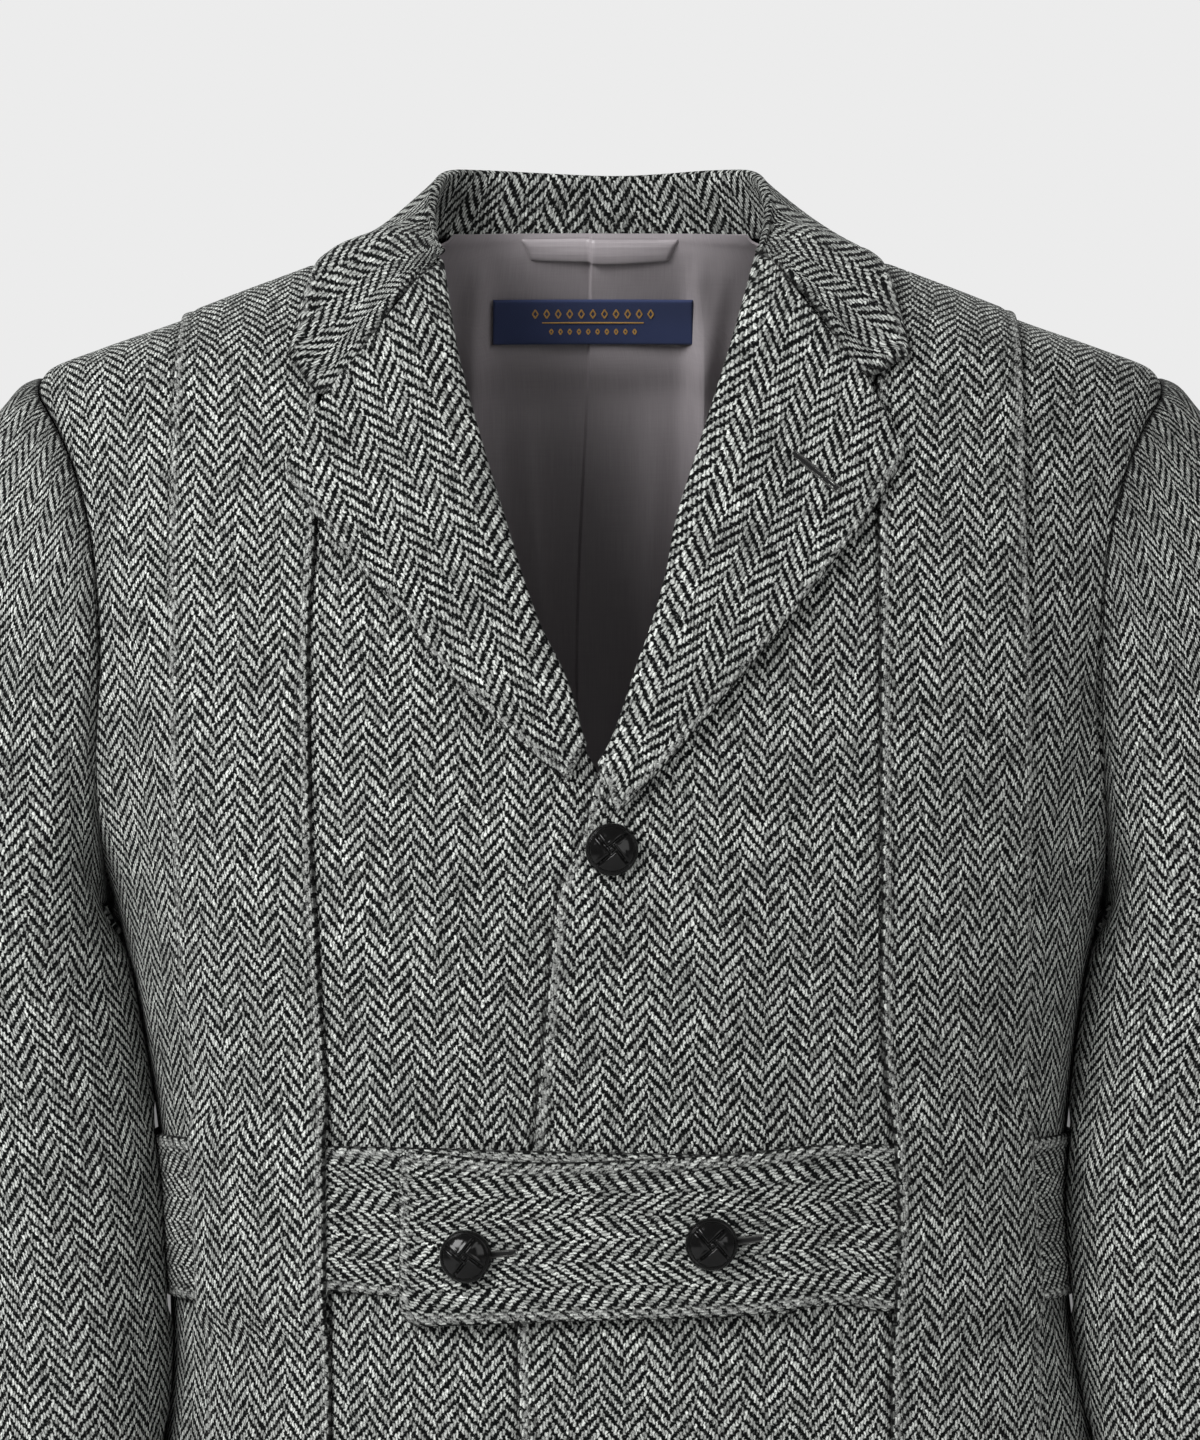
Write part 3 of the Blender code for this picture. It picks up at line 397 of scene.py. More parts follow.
def angle_points(angle, z, side, hand):
    depth = front_depth(z) if side < 0 else back_depth(z)
    x = centre_x(z) + hand * half_width(z) * np.maximum(np.cos(angle), 0.0) ** (2 / POWER)
    out = depth * np.sin(angle) ** (2 / POWER)
    return np.stack([x, centre_y(z) + side * np.maximum(out, SEAM_GAP / 2), z], -1)


def off_form(points):
    """Roughly how far the points lie off the form, and which way is out."""
    step = 0.0004
    normals = form_normals(points)
    level = fullness(points)
    slope = (fullness(points + normals * step) - level) / step
    return (level - 1) / slope, normals


def clear_of_form(points, distance):
    """The points, pushed out where they lie less than this distance from the form."""
    for _ in range(4):
        away, normals = off_form(points)
        points = points + normals * np.maximum(distance - away, 0.0)[..., None]
    return points


def ridge_height(x):
    """The height of the shoulder seam, or of the neckline inside the neck points."""
    heights = np.linspace(SHOULDER_POINT, FORM[-1][0], 400)
    seam = np.interp(x, half_width(heights)[::-1], heights[::-1])
    neck = mix(BACK_NECK_HEIGHT, NECK_POINT_HEIGHT, fade(x, 0.0, NECK_POINT_X))
    return np.where(x < NECK_POINT_X, neck, seam)


# Grids


def spread(count, fine_start=True, fine_end=True):
    """Fractions from 0 to 1 that lie closer together near the ends, for turned edges."""
    t = np.linspace(0.0, 1.0, count)
    if fine_start and fine_end:
        return 0.5 - 0.5 * np.cos(math.pi * t) * (1 - 0.25 * np.sin(math.pi * t) ** 2)
    if fine_start:
        return t**1.5
    return 1 - (1 - t) ** 1.5 if fine_end else t


def grid_normals(points, outward):
    """A grid's normals from its neighbours, facing the way that outward does."""
    along, across = np.gradient(points, axis=1), np.gradient(points, axis=0)
    normals = unit(np.cross(along, across))
    return np.where((normals * outward).sum(-1, keepdims=True) < 0, -normals, normals)


def edge_distance(points, border):
    """How far each point of a grid lies from one of its borders: left, right, bottom or top."""
    axis = 1 if border in ("left", "right") else 0
    steps = np.linalg.norm(np.diff(points, axis=axis), axis=-1)
    if border in ("left", "bottom"):
        return np.concatenate([np.zeros_like(steps.take([0], axis)), np.cumsum(steps, axis)], axis)
    flipped = np.cumsum(np.flip(steps, axis), axis)
    return np.concatenate([np.flip(flipped, axis), np.zeros_like(steps.take([0], axis))], axis)


def flat_coordinates(points, normals, start_u, start_v, grain=(0.0, 0.0, 1.0), row=0):
    """Where each point of a grid lies on its flat cloth: across the grain and along it.

    The first column keeps start_u, and the given row keeps start_v.
    """
    grain = np.asarray(grain)
    along_grain = unit(grain - normals * (normals * grain).sum(-1, keepdims=True))
    across = unit(np.cross(along_grain, normals))
    right = (np.diff(points, axis=1) * (across[:, 1:] + across[:, :-1]) / 2).sum(-1)
    up = (np.diff(points, axis=0) * (along_grain[1:] + along_grain[:-1]) / 2).sum(-1)
    u = np.cumsum(np.concatenate([np.zeros((len(points), 1)), right], 1), 1)
    v = np.cumsum(np.concatenate([np.zeros((1, points.shape[1])), up], 0), 0)
    u = u + np.broadcast_to(start_u, (len(points),))[:, None]
    v = v - v[[row]] + np.broadcast_to(start_v, (points.shape[1],))
    return np.stack([u, v], -1)


def over_shoulder(points, side):
    """The grain's way on a front or back: upright, and over the shoulder where the cloth turns to face up."""
    over = -side * fade(points[..., 2], -0.150, -0.050)
    return np.stack([np.zeros_like(over), over, np.ones_like(over)], -1)


def turned(points, borders, radius):
    """1 inside a cloth, falling off round over its turned edges."""
    height = np.ones(points.shape[:2])
    for border in borders:
        reach = np.clip(edge_distance(points, border) / radius, 0.0, 1.0)
        height *= np.sqrt(np.maximum(1 - (1 - reach) ** 2, 0.0))
    return height


def sewn_line(points, borders, inset, width):
    """1 on the lines that run beside a cloth's borders at this inset, fading out over the width."""
    groove = np.zeros(points.shape[:2])
    for border in borders:
        groove = np.maximum(groove, np.exp(-(((edge_distance(points, border) - inset) / width) ** 2)))
    return groove


def edge_shade_and_rub(points, borders, band):
    """Painted shade as a dark line at a cloth's own edge, and a raised, rubbed band beside it."""
    marks = np.zeros(points.shape[:2])
    for border in borders:
        away = edge_distance(points, border)
        rubbed = fade(away, 0.0006, 0.0014) * (1 - fade(away, band, 1.5 * band))
        marks = np.minimum(marks, -0.9 * rubbed)
    # Painted shade: a dark line along each edge itself
    for border in borders:
        marks = marks + np.exp(-((edge_distance(points, border) / 0.0006) ** 2))
    return marks


def folds(points, lines):
    """Soft ridges and troughs: two ends in x and z, a width, and a height that is below 0 in a trough."""
    raised = np.zeros(points.shape[:2])
    x, z = points[..., 0], points[..., 2]
    for (x0, z0), (x1, z1), width, height in lines:
        run, rise = x1 - x0, z1 - z0
        length = math.hypot(run, rise)
        along = ((x - x0) * run + (z - z0) * rise) / length**2
        bow = 0.35 * width * np.sin(along * 5.0 + x0 * 60)
        off = ((x - x0) * rise - (z - z0) * run) / length + bow
        ends = fade(along, -0.12, 0.22) * (1 - fade(along, 0.78, 1.12))
        raised += height * ends * np.exp(-((off / width) ** 2))
    return raised


def unevenness(points, seed, size, height):
    """A gentle, uneven rise and fall, the same each run."""
    rng = np.random.default_rng(seed)
    total = np.zeros(points.shape[:2])
    for _ in range(7):
        direction = unit(rng.normal(size=3)) * rng.uniform(0.6, 1.6) / size
        total += np.sin(points @ direction * 2 * math.pi + rng.uniform(0, 6.3))
    return height * total / 2.6


# Meshes


def add_piece(name, mesh, look, slot, *nodes):
    """Puts a piece into the scene, riding on the jacket and standing for its solids."""
    piece = bpy.data.objects.new(name, mesh)
    bpy.context.scene.collection.objects.link(piece)
    mesh.materials.append(look)
    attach(piece, "root")
    if nodes:
        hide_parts(*nodes)


def cloth_mesh(name, outer, inner, flat, shade_and_rub=0.0, sewn=0.0):
    """A closed cloth between two grids, with the flat coordinates as its UV map.

    Its mask of painted shade is 1 deep in a seam and below 0 on a raised, rubbed edge, and sewn is 1 on a row
    of stitches, which are darkened as painted shade too.
    """
    rows, columns = outer.shape[:2]
    count = rows * columns
    number = np.arange(count).reshape(rows, columns)
    quads = np.stack([number[:-1, :-1], number[:-1, 1:], number[1:, 1:], number[1:, :-1]], -1).reshape(-1, 4)
    rim = np.concatenate([number[0, :-1], number[:-1, -1], number[-1, :0:-1], number[:0:-1, 0]])
    following = np.roll(rim, -1)
    sides = np.stack([following, rim, rim + count, following + count], -1)
    faces = np.concatenate([quads, quads[:, ::-1] + count, sides])
    mesh = bpy.data.meshes.new(name)
    corners = np.concatenate([outer.reshape(-1, 3), inner.reshape(-1, 3)])
    mesh.from_pydata(corners.tolist(), [], faces.tolist())
    layer = mesh.uv_layers.new(name="cloth")
    both = np.concatenate([flat.reshape(-1, 2), flat.reshape(-1, 2)])
    layer.data.foreach_set("uv", both[faces.reshape(-1)].astype(np.float32).reshape(-1))
    for label, value in (("shade_and_rub", shade_and_rub), ("sewn", sewn)):
        values = np.broadcast_to(value, (rows, columns)).reshape(-1)
        mesh.attributes.new(label, "FLOAT", "POINT").data.foreach_set(
            "value", np.concatenate([values, values]).astype(np.float32)
        )
    work = bmesh.new()
    work.from_mesh(mesh)
    if work.calc_volume(signed=True) < 0:
        bmesh.ops.reverse_faces(work, faces=work.faces)
    work.to_mesh(mesh)
    work.free()
    mesh.shade_smooth()
    mesh.set_sharp_from_angle(angle=math.radians(70))
    return mesh


def laid_cloth(name, points, normals, low, high, flat, look, slot, *nodes, shade_and_rub=0.0, sewn=0.0):
    """A cloth that lies over a grid, from one distance off it to another."""
    low, high = (np.broadcast_to(off, points.shape[:2])[..., None] for off in (low, high))
    mesh = cloth_mesh(name, points + normals * high, points + normals * low, flat, shade_and_rub, sewn)
    add_piece(name, mesh, look, slot, *nodes)


def refined(grid, row_steps, column_steps):
    """A coarse grid with smooth curves through its points, both ways."""

    def along(points, steps):
        count = len(points)
        padded = np.concatenate([2 * points[:1] - points[1:2], points, 2 * points[-1:] - points[-2:-1]])
        places = np.linspace(0, count - 1, (count - 1) * steps + 1)
        low = np.minimum(places.astype(int), count - 2)
        t = (places - low).reshape(-1, *[1] * (points.ndim - 1))
        p0, p1, p2, p3 = (padded[low + k] for k in range(4))
        square, cube = 2 * p0 - 5 * p1 + 4 * p2 - p3, 3 * p1 - p0 - 3 * p2 + p3
        return 0.5 * (2 * p1 + (p2 - p0) * t + square * t**2 + cube * t**3)

    return np.swapaxes(along(np.swapaxes(along(grid, row_steps), 0, 1), column_steps), 0, 1)


# Shader graphs


class Graph:
    """Short ways to add nodes to a material or a node group."""

    def __init__(self, tree):
        self.tree = tree

    def node(self, kind, **settings):
        made = self.tree.nodes.new(kind)
        for name, value in settings.items():
            setattr(made, name, value)
        return made

    def feed(self, socket, value):
        if isinstance(value, bpy.types.NodeSocket):
            self.tree.links.new(value, socket)
        else:
            socket.default_value = value

    def math(self, operation, *values):
        made = self.node("ShaderNodeMath", operation=operation)
        for socket, value in zip(made.inputs, values):
            self.feed(socket, value)
        return made.outputs[0]

    def vector(self, operation, *values):
        made = self.node("ShaderNodeVectorMath", operation=operation)
        for socket, value in zip(made.inputs, values):
            self.feed(socket, value)
        return made.outputs["Vector"]

    def noise(self, where, scale, detail, roughness=0.5, out="Fac"):
        made = self.node("ShaderNodeTexNoise")
        self.feed(made.inputs["Vector"], where)
        for name, value in (("Scale", scale), ("Detail", detail), ("Roughness", roughness)):
            made.inputs[name].default_value = value
        return made.outputs[out]

    def bump(self, height, strength, distance):
        made = self.node("ShaderNodeBump")
        made.inputs["Strength"].default_value = strength
        made.inputs["Distance"].default_value = distance
        self.feed(made.inputs["Height"], height)
        return made.outputs[0]

    def blend(self, factor, start, end, kind="MIX"):
        made = self.node("ShaderNodeMix", data_type="RGBA", blend_type=kind)
        for socket, value in zip((made.inputs[0], made.inputs[6], made.inputs[7]), (factor, start, end)):
            self.feed(socket, value)
        return made.outputs[2]

    def ramp(self, value, low, high, start=0.0, end=1.0):
        made = self.node("ShaderNodeMapRange", interpolation_type="SMOOTHSTEP")
        for socket, given in zip(made.inputs, (value, low, high, start, end)):
            self.feed(socket, given)
        return made.outputs[0]


def node_group(name, inputs, outputs):
    """An empty shader group with its sockets, and its graph, inputs and outputs."""
    tree = bpy.data.node_groups.new(name, "ShaderNodeTree")
    for label, kind, default in inputs:
        socket = tree.interface.new_socket(label, in_out="INPUT", socket_type=kind)
        if default is not None:
            socket.default_value = default
    for label, kind in outputs:
        tree.interface.new_socket(label, in_out="OUTPUT", socket_type=kind)
    graph = Graph(tree)
    entry, leave = graph.node("NodeGroupInput"), graph.node("NodeGroupOutput")
    return tree, graph, entry.outputs, leave.inputs


def herringbone_group():
    """Herringbone twill: light warp floats over a dark weft, from flat coordinates in metres of cloth."""
    tree, g, given, out = node_group(
        "herringbone",
        (
            ("Cloth", "NodeSocketVector", None),
            ("Warp Pitch", "NodeSocketFloat", WARP_PITCH),
            ("Weft Pitch", "NodeSocketFloat", WEFT_PITCH),
            ("Light Yarn", "NodeSocketColor", (0.5, 0.5, 0.5, 1.0)),
            ("Dark Yarn", "NodeSocketColor", (0.02, 0.02, 0.02, 1.0)),
        ),
        (("Color", "NodeSocketColor"), ("Height", "NodeSocketFloat")),
    )
    cloth = given["Cloth"]
    waver = g.vector("SUBTRACT", g.noise(cloth, 22.0, 1.0, out="Color"), (0.5, 0.5, 0.5))
    wobble = g.vector("SUBTRACT", g.noise(cloth, 520.0, 2.0, out="Color"), (0.5, 0.5, 0.5))
    moved = g.vector("ADD", cloth, g.vector("MULTIPLY", waver, (0.0034, 0.0050, 0.0)))
    moved = g.vector("ADD", moved, g.vector("MULTIPLY", wobble, (0.0022, 0.0030, 0.0)))
    parts = g.node("ShaderNodeSeparateXYZ")
    g.feed(parts.inputs[0], moved)
    end = g.math("DIVIDE", parts.outputs[0], given["Warp Pitch"])
    pick = g.math("DIVIDE", parts.outputs[1], given["Weft Pitch"])
    end_number = g.math("FLOOR", end)
    stripe = g.math("FLOOR", g.math("DIVIDE", end_number, float(ENDS_A_STRIPE)))
    odd = g.math("PINGPONG", stripe, 1.0)
    rise = g.math("FLOOR", g.math("PINGPONG", g.math("ADD", end_number, 0.5), float(ENDS_A_STRIPE)))
    phase = g.math("ADD", g.math("ADD", pick, rise), g.math("MULTIPLY", odd, 2.0))
    turn = g.math("FRACT", g.math("DIVIDE", phase, 4.0))
    off_float = g.math("MULTIPLY", g.math("ABSOLUTE", g.math("SUBTRACT", turn, 0.5)), 4.0)
    warp_up = g.ramp(off_float, 1.22, 0.84)
    across = g.math("ABSOLUTE", g.math("SUBTRACT", g.math("FRACT", end), 0.5))
    bead = g.ramp(across, 0.56, 0.14, 0.12, 1.0)
    float_number = g.math("FLOOR", g.math("DIVIDE", phase, 4.0))
    cell = g.node("ShaderNodeCombineXYZ")
    g.feed(cell.inputs[0], end_number)
    g.feed(cell.inputs[1], float_number)
    chance = g.node("ShaderNodeTexWhiteNoise", noise_dimensions="2D")
    g.feed(chance.inputs["Vector"], cell.outputs[0])
    fleck = g.noise(g.vector("MULTIPLY", moved, (1.0, 0.6, 1.0)), 1250.0, 3.0, 0.75)
    patch = g.noise(cloth, 45.0, 3.0, 0.6)
    uneven = g.ramp(chance.outputs["Value"], 0.0, 1.0, 0.62, 1.28)
    tone = g.math("MULTIPLY", g.ramp(fleck, 0.30, 0.70, 0.38, 1.28), g.ramp(patch, 0.25, 0.75, 0.78, 1.18))
    tone = g.math("MULTIPLY", tone, uneven)
    bulge = g.math("MULTIPLY", warp_up, bead)
    stray = g.vector("MULTIPLY", wobble, (0.001, 0.001, 0.0))
    streaks = g.vector("ADD", g.vector("MULTIPLY", cloth, (1.0, 0.25, 1.0)), stray)
    upright = g.ramp(g.noise(streaks, 2300.0, 2.0, 0.6), 0.60, 0.74)
    strands = g.vector("MULTIPLY", cloth, (0.30, 1.0, 1.0))
    hair = g.math("MAXIMUM", upright, g.ramp(g.noise(strands, 2100.0, 2.0, 0.6), 0.62, 0.76))
    light = g.blend(1.0, given["Light Yarn"], tone, "MULTIPLY")
    haze = g.blend(g.math("MULTIPLY", hair, 0.30), given["Dark Yarn"], given["Light Yarn"])
    g.feed(out["Color"], g.blend(bulge, haze, light))
    g.feed(out["Height"], g.math("ADD", bulge, g.math("MULTIPLY", fleck, 0.9)))
    return tree


def seam_group():
    """Paints shade into a cloth in its seams and creases and along its stitches, and rubs its raised edges
    pale.
    """
    tree, g, given, out = node_group(
        "seam_shade_and_rub",
        (
            ("Cloth", "NodeSocketVector", None),
            ("Color", "NodeSocketColor", (0.5, 0.5, 0.5, 1.0)),
            ("Shade_And_Rub", "NodeSocketFloat", 0.0),
            ("Stitch_Shade", "NodeSocketFloat", 0.0),
        ),
        (("Color", "NodeSocketColor"),),
    )
    parts = g.node("ShaderNodeSeparateXYZ")
    g.feed(parts.inputs[0], given["Cloth"])
    drift = g.noise(given["Cloth"], 90.0, 1.0)
    along = g.math("ADD", g.math("DIVIDE", parts.outputs[1], STITCH_PITCH), drift)
    between = g.math("ABSOLUTE", g.math("SUBTRACT", g.math("FRACT", along), 0.5))
    stitch = g.ramp(between, 0.40, 0.22)
    knots = g.noise(given["Cloth"], 520.0, 3.0, 0.7)
    raised = g.ramp(g.math("MULTIPLY", given["Shade_And_Rub"], -1.0), 0.1, 0.9)
    rubbed = g.blend(g.ramp(knots, 0.46, 0.56), (0.006, 0.006, 0.006, 1.0), (0.56, 0.57, 0.55, 1.0))
    edged = g.blend(g.math("MULTIPLY", raised, 0.38), given["Color"], rubbed)
    # Painted shade: seams, creases and cloth edges go towards near black
    sunk = g.math("MULTIPLY", g.ramp(given["Shade_And_Rub"], 0.05, 0.8), 0.85)
    # Painted shade along the stitch rows, in dashes
    dashes = g.math("ADD", g.math("MULTIPLY", stitch, 0.7), 0.2)
    sewn = g.math("MULTIPLY", g.math("MULTIPLY", given["Stitch_Shade"], dashes), 0.9)
    g.feed(out["Color"], g.blend(g.math("MAXIMUM", sunk, sewn), edged, (0.005, 0.005, 0.005, 1.0)))
    return tree


def new_material(name, **constants):
    """A material, its graph and its Principled BSDF, with its constant values set on the shader's sockets."""
    made = bpy.data.materials.new(name)
    made.use_nodes = True
    shader = made.node_tree.nodes["Principled BSDF"]
    for label, value in constants.items():
        shader.inputs[label.replace("_", " ")].default_value = value
    return made, Graph(made.node_tree), shader


def tweed_material():
    made, g, shader = new_material(
        "tweed_cloth", Roughness=0.95, Sheen_Weight=0.02, Sheen_Roughness=0.5, Specular_IOR_Level=0.04
    )
    weave = g.node("ShaderNodeGroup", node_tree=herringbone_group())
    g.feed(weave.inputs["Cloth"], g.node("ShaderNodeUVMap", uv_map="cloth").outputs[0])
    weave.inputs["Light Yarn"].default_value = (0.58, 0.60, 0.57, 1.0)
    weave.inputs["Dark Yarn"].default_value = (0.003, 0.0035, 0.0035, 1.0)
    # The seam marks add painted shade in seams, creases and stitch rows, and rub raised edges pale
    marks = g.node("ShaderNodeGroup", node_tree=seam_group())
    g.feed(marks.inputs["Cloth"], g.node("ShaderNodeUVMap", uv_map="cloth").outputs[0])
    g.feed(marks.inputs["Color"], weave.outputs["Color"])
    g.feed(marks.inputs["Shade_And_Rub"], g.node("ShaderNodeAttribute", attribute_name="shade_and_rub").outputs["Fac"])
    g.feed(marks.inputs["Stitch_Shade"], g.node("ShaderNodeAttribute", attribute_name="sewn").outputs["Fac"])
    g.feed(shader.inputs["Base Color"], marks.outputs["Color"])
    g.feed(shader.inputs["Normal"], g.bump(weave.outputs["Height"], 0.55, 0.0006))
    return made


def satin_material():
    made, g, shader = new_material(
        "lining_satin", Roughness=0.40, Sheen_Weight=0.12, Sheen_Roughness=0.35, Specular_IOR_Level=0.5
    )
    cloth = g.node("ShaderNodeUVMap", uv_map="cloth").outputs[0]
    warp = g.noise(g.vector("MULTIPLY", cloth, (1.0, 0.02, 1.0)), 2600.0, 2.0)
    weft = g.noise(g.vector("MULTIPLY", cloth, (0.03, 1.0, 1.0)), 1800.0, 2.0)
    thread = g.math("ADD", warp, g.math("MULTIPLY", weft, 0.5))
    tone = g.ramp(thread, 0.45, 1.05, 0.92, 1.07)
    g.feed(shader.inputs["Base Color"], g.blend(1.0, (0.370, 0.337, 0.354, 1.0), tone, "MULTIPLY"))
    g.feed(shader.inputs["Normal"], g.bump(thread, 0.12, 0.0002))
    return made


def woven_material(name, colour, rib, roughness=0.7):
    """A close plain weave in one colour, for the label, its marks and the buttonholes."""
    made, g, shader = new_material(name, Roughness=roughness, Sheen_Weight=0.2, Specular_IOR_Level=0.3)
    cloth = g.node("ShaderNodeUVMap", uv_map="cloth").outputs[0]
    wave = g.node("ShaderNodeTexWave", wave_type="BANDS", bands_direction="DIAGONAL")
    wave.inputs["Scale"].default_value = rib
    g.feed(wave.inputs["Vector"], cloth)
    tone = g.ramp(wave.outputs["Fac"], 0.0, 1.0, 0.62, 1.25)
    g.feed(shader.inputs["Base Color"], g.blend(1.0, (*colour, 1.0), tone, "MULTIPLY"))
    g.feed(shader.inputs["Normal"], g.bump(wave.outputs["Fac"], 0.3, 0.0002))
    return made


def leather_material():
    made, g, shader = new_material("button_leather", Specular_IOR_Level=0.22)
    grain = g.noise(g.node("ShaderNodeTexCoord").outputs["Object"], 1400.0, 4.0, 0.6)
    black, worn = (0.002, 0.002, 0.002, 1.0), (0.004, 0.0038, 0.0038, 1.0)
    g.feed(shader.inputs["Base Color"], g.blend(grain, black, worn))
    g.feed(shader.inputs["Roughness"], g.ramp(grain, 0.3, 0.7, 0.09, 0.17))
    g.feed(shader.inputs["Normal"], g.bump(grain, 0.06, 0.0002))
    return made


# Panels


def panel_rows(lower, upper):
    """Each row's height at the panel's outer border, how far it tilts up with the shoulder, and its angle."""
    rows = [(height, 0.0, None) for height in mix(HEM, UNDERARM, spread(lower, fine_end=False))[:-1]]
    for step in range(upper):
        turn = -math.pi / 2 + math.pi * step / upper
        rows.append((ARMHOLE_CENTRE + ARMHOLE_HALF_HEIGHT * math.sin(turn), step / upper, turn))
    return rows


def border_angle(height, turn, side):
    """The form's angle at the panel's outer border: the side seam, or the armhole above it."""
    reach = ARMHOLE_FRONT if side < 0 else ARMHOLE_BACK
    out = max(reach * math.cos(turn), SEAM_GAP / 2) if turn is not None else SEAM_GAP / 2
    depth = front_depth(height) if side < 0 else back_depth(height)
    return math.asin(min(out / depth, 1.0) ** (POWER / 2))


def panel(hand, side, edge, strap, parts, top_inner):
    """A front or back as rows of points on the form, from the hem up and from its inner edge outwards."""
    inner_parts, strap_parts, side_parts = parts
    strap_inner, strap_outer = curve(strap, 1), curve(strap, 2)
    shoulder_x = half_width(SHOULDER_POINT)
    top = np.concatenate([
        mix(top_inner, STRAP_TOP_INNER, inner_parts),
        mix(STRAP_TOP_INNER, STRAP_TOP_OUTER, strap_parts[1:]),
        mix(STRAP_TOP_OUTER, shoulder_x, side_parts[1:]),
    ])
    climbs = ridge_height(top) - SHOULDER_POINT
    to_strap, across = len(inner_parts), len(strap_parts) - 1
    grid = []
    for border, tilt, turn in panel_rows(104, 46):
        heights = border + tilt * climbs
        heights[-1] = border
        inner, outer = strap_inner(heights), strap_outer(heights)
        x = np.concatenate([
            mix(edge(heights[:to_strap]), inner[:to_strap], inner_parts),
            mix(inner[to_strap : to_strap + across], outer[to_strap : to_strap + across], strap_parts[1:]),
        ])
        row = form_points(hand * x, heights[: to_strap + across], side)
        end_x, end_z = abs(row[-1, 0] - centre_x(row[-1, 2])), row[-1, 2]
        start = math.acos(min(end_x / half_width(end_z), 1.0) ** (POWER / 2))
        angles = mix(start, border_angle(border, turn, side), side_parts[1:])
        grid.append(np.concatenate([row, angle_points(angles, heights[to_strap + across :], side, hand)]))
    height = ridge_height(top)
    seam = np.stack([hand * top, centre_y(height) + side * SEAM_GAP / 2, height], -1)
    neckline = form_points(hand * top, height, side)
    grid.append(np.where((top < NECK_POINT_X)[:, None], neckline, seam))
    return np.array(grid)


def overlap_lift(points):
    """How far the left front is lifted to lie over the right one."""
    return OVERLAP_LIFT * (1 - fade(points[..., 0], OVERLAP_END, OVERLAP_FADE))


FRONT_PARTS = (spread(56), spread(30), spread(34))
BACK_PARTS = (spread(46), spread(28), spread(32))


# Troughs and ridges of the fronts, by hand: two ends in x and z, width, height
FRONT_FOLDS = {
    1: (
        ((0.205, -0.150), (0.186, -0.300), 0.010, -0.0022),
        ((0.224, -0.140), (0.203, -0.250), 0.009, 0.0020),
        ((0.192, -0.300), (0.150, -0.352), 0.009, -0.0012),
        ((0.060, -0.250), (0.105, -0.345), 0.012, -0.0008),
        ((0.020, -0.300), (0.075, -0.352), 0.010, -0.0008),
        ((0.150, -0.430), (0.170, -0.560), 0.013, -0.0014),
        ((0.060, -0.432), (0.072, -0.600), 0.016, -0.0012),
        ((0.000, -0.435), (0.006, -0.640), 0.014, 0.0010),
    ),
    -1: (
        ((-0.200, -0.150), (-0.180, -0.300), 0.010, -0.0022),
        ((-0.222, -0.140), (-0.201, -0.250), 0.009, 0.0020),
        ((-0.188, -0.305), (-0.140, -0.354), 0.009, -0.0012),
        ((-0.050, -0.255), (-0.100, -0.350), 0.012, -0.0008),
        ((-0.150, -0.430), (-0.165, -0.580), 0.013, -0.0014),
        ((-0.068, -0.432), (-0.076, -0.600), 0.016, -0.0012),
    ),
}
BACK_FOLDS = {
    1: (
        ((0.180, -0.150), (0.160, -0.310), 0.012, -0.0028),
        ((0.140, -0.300), (0.060, -0.352), 0.010, -0.0014),
        ((0.060, -0.432), (0.070, -0.600), 0.017, -0.0018),
        ((0.120, -0.432), (0.140, -0.620), 0.015, 0.0014),
    ),
    -1: (
        ((-0.180, -0.150), (-0.160, -0.310), 0.012, -0.0028),
        ((-0.140, -0.305), (-0.055, -0.354), 0.010, -0.0014),
        ((-0.058, -0.432), (-0.066, -0.620), 0.017, -0.0018),
        ((-0.118, -0.432), (-0.132, -0.600), 0.015, 0.0014),
    ),
}


def centre_seam(height):
    """How far the back panels' inner edges lie from the middle, at any height."""
    return np.full_like(height, SEAM_GAP / 2)


def panel_grids():
    """The four body panels' grids, with their normals, folds and flat coordinates."""
    panels = {}
    for hand in HANDS:
        edge = curve(FRONT_EDGE[hand], 1)
        front = panel(hand, -1, edge, FRONT_STRAP[hand], FRONT_PARTS, NECK_POINT_X)
        back = panel(hand, 1, centre_seam, BACK_STRAP, BACK_PARTS, 0.0)
        for side, grid, lines in ((-1, front, FRONT_FOLDS[hand]), (1, back, BACK_FOLDS[hand])):
            normals = form_normals(grid)
            shape = folds(grid, lines) + unevenness(grid, 3 + side, 0.16, 0.0005)
            flat = flat_coordinates(grid, normals, grid[:, 0, 0] * -side, HEM, over_shoulder(grid, side))
            panels[hand, side] = (grid, normals, shape, flat)
    return panels


def panel_name(hand, side):
    return f"{SIDES[side]}_{HANDS[hand]}"


def beside(points, column, width):
    """1 on a column of a grid, fading out to both sides of it."""
    along = edge_distance(points, "left")
    return np.exp(-(((along - along[:, [column]]) / width) ** 2))


def under_edge(points):
    """The shade on the right front just outside the left front's edge, which lies over it."""
    across = curve(FRONT_EDGE[1], 1)(points[..., 2]) - points[..., 0]
    return 0.7 * np.exp(-((across / 0.0022) ** 2))


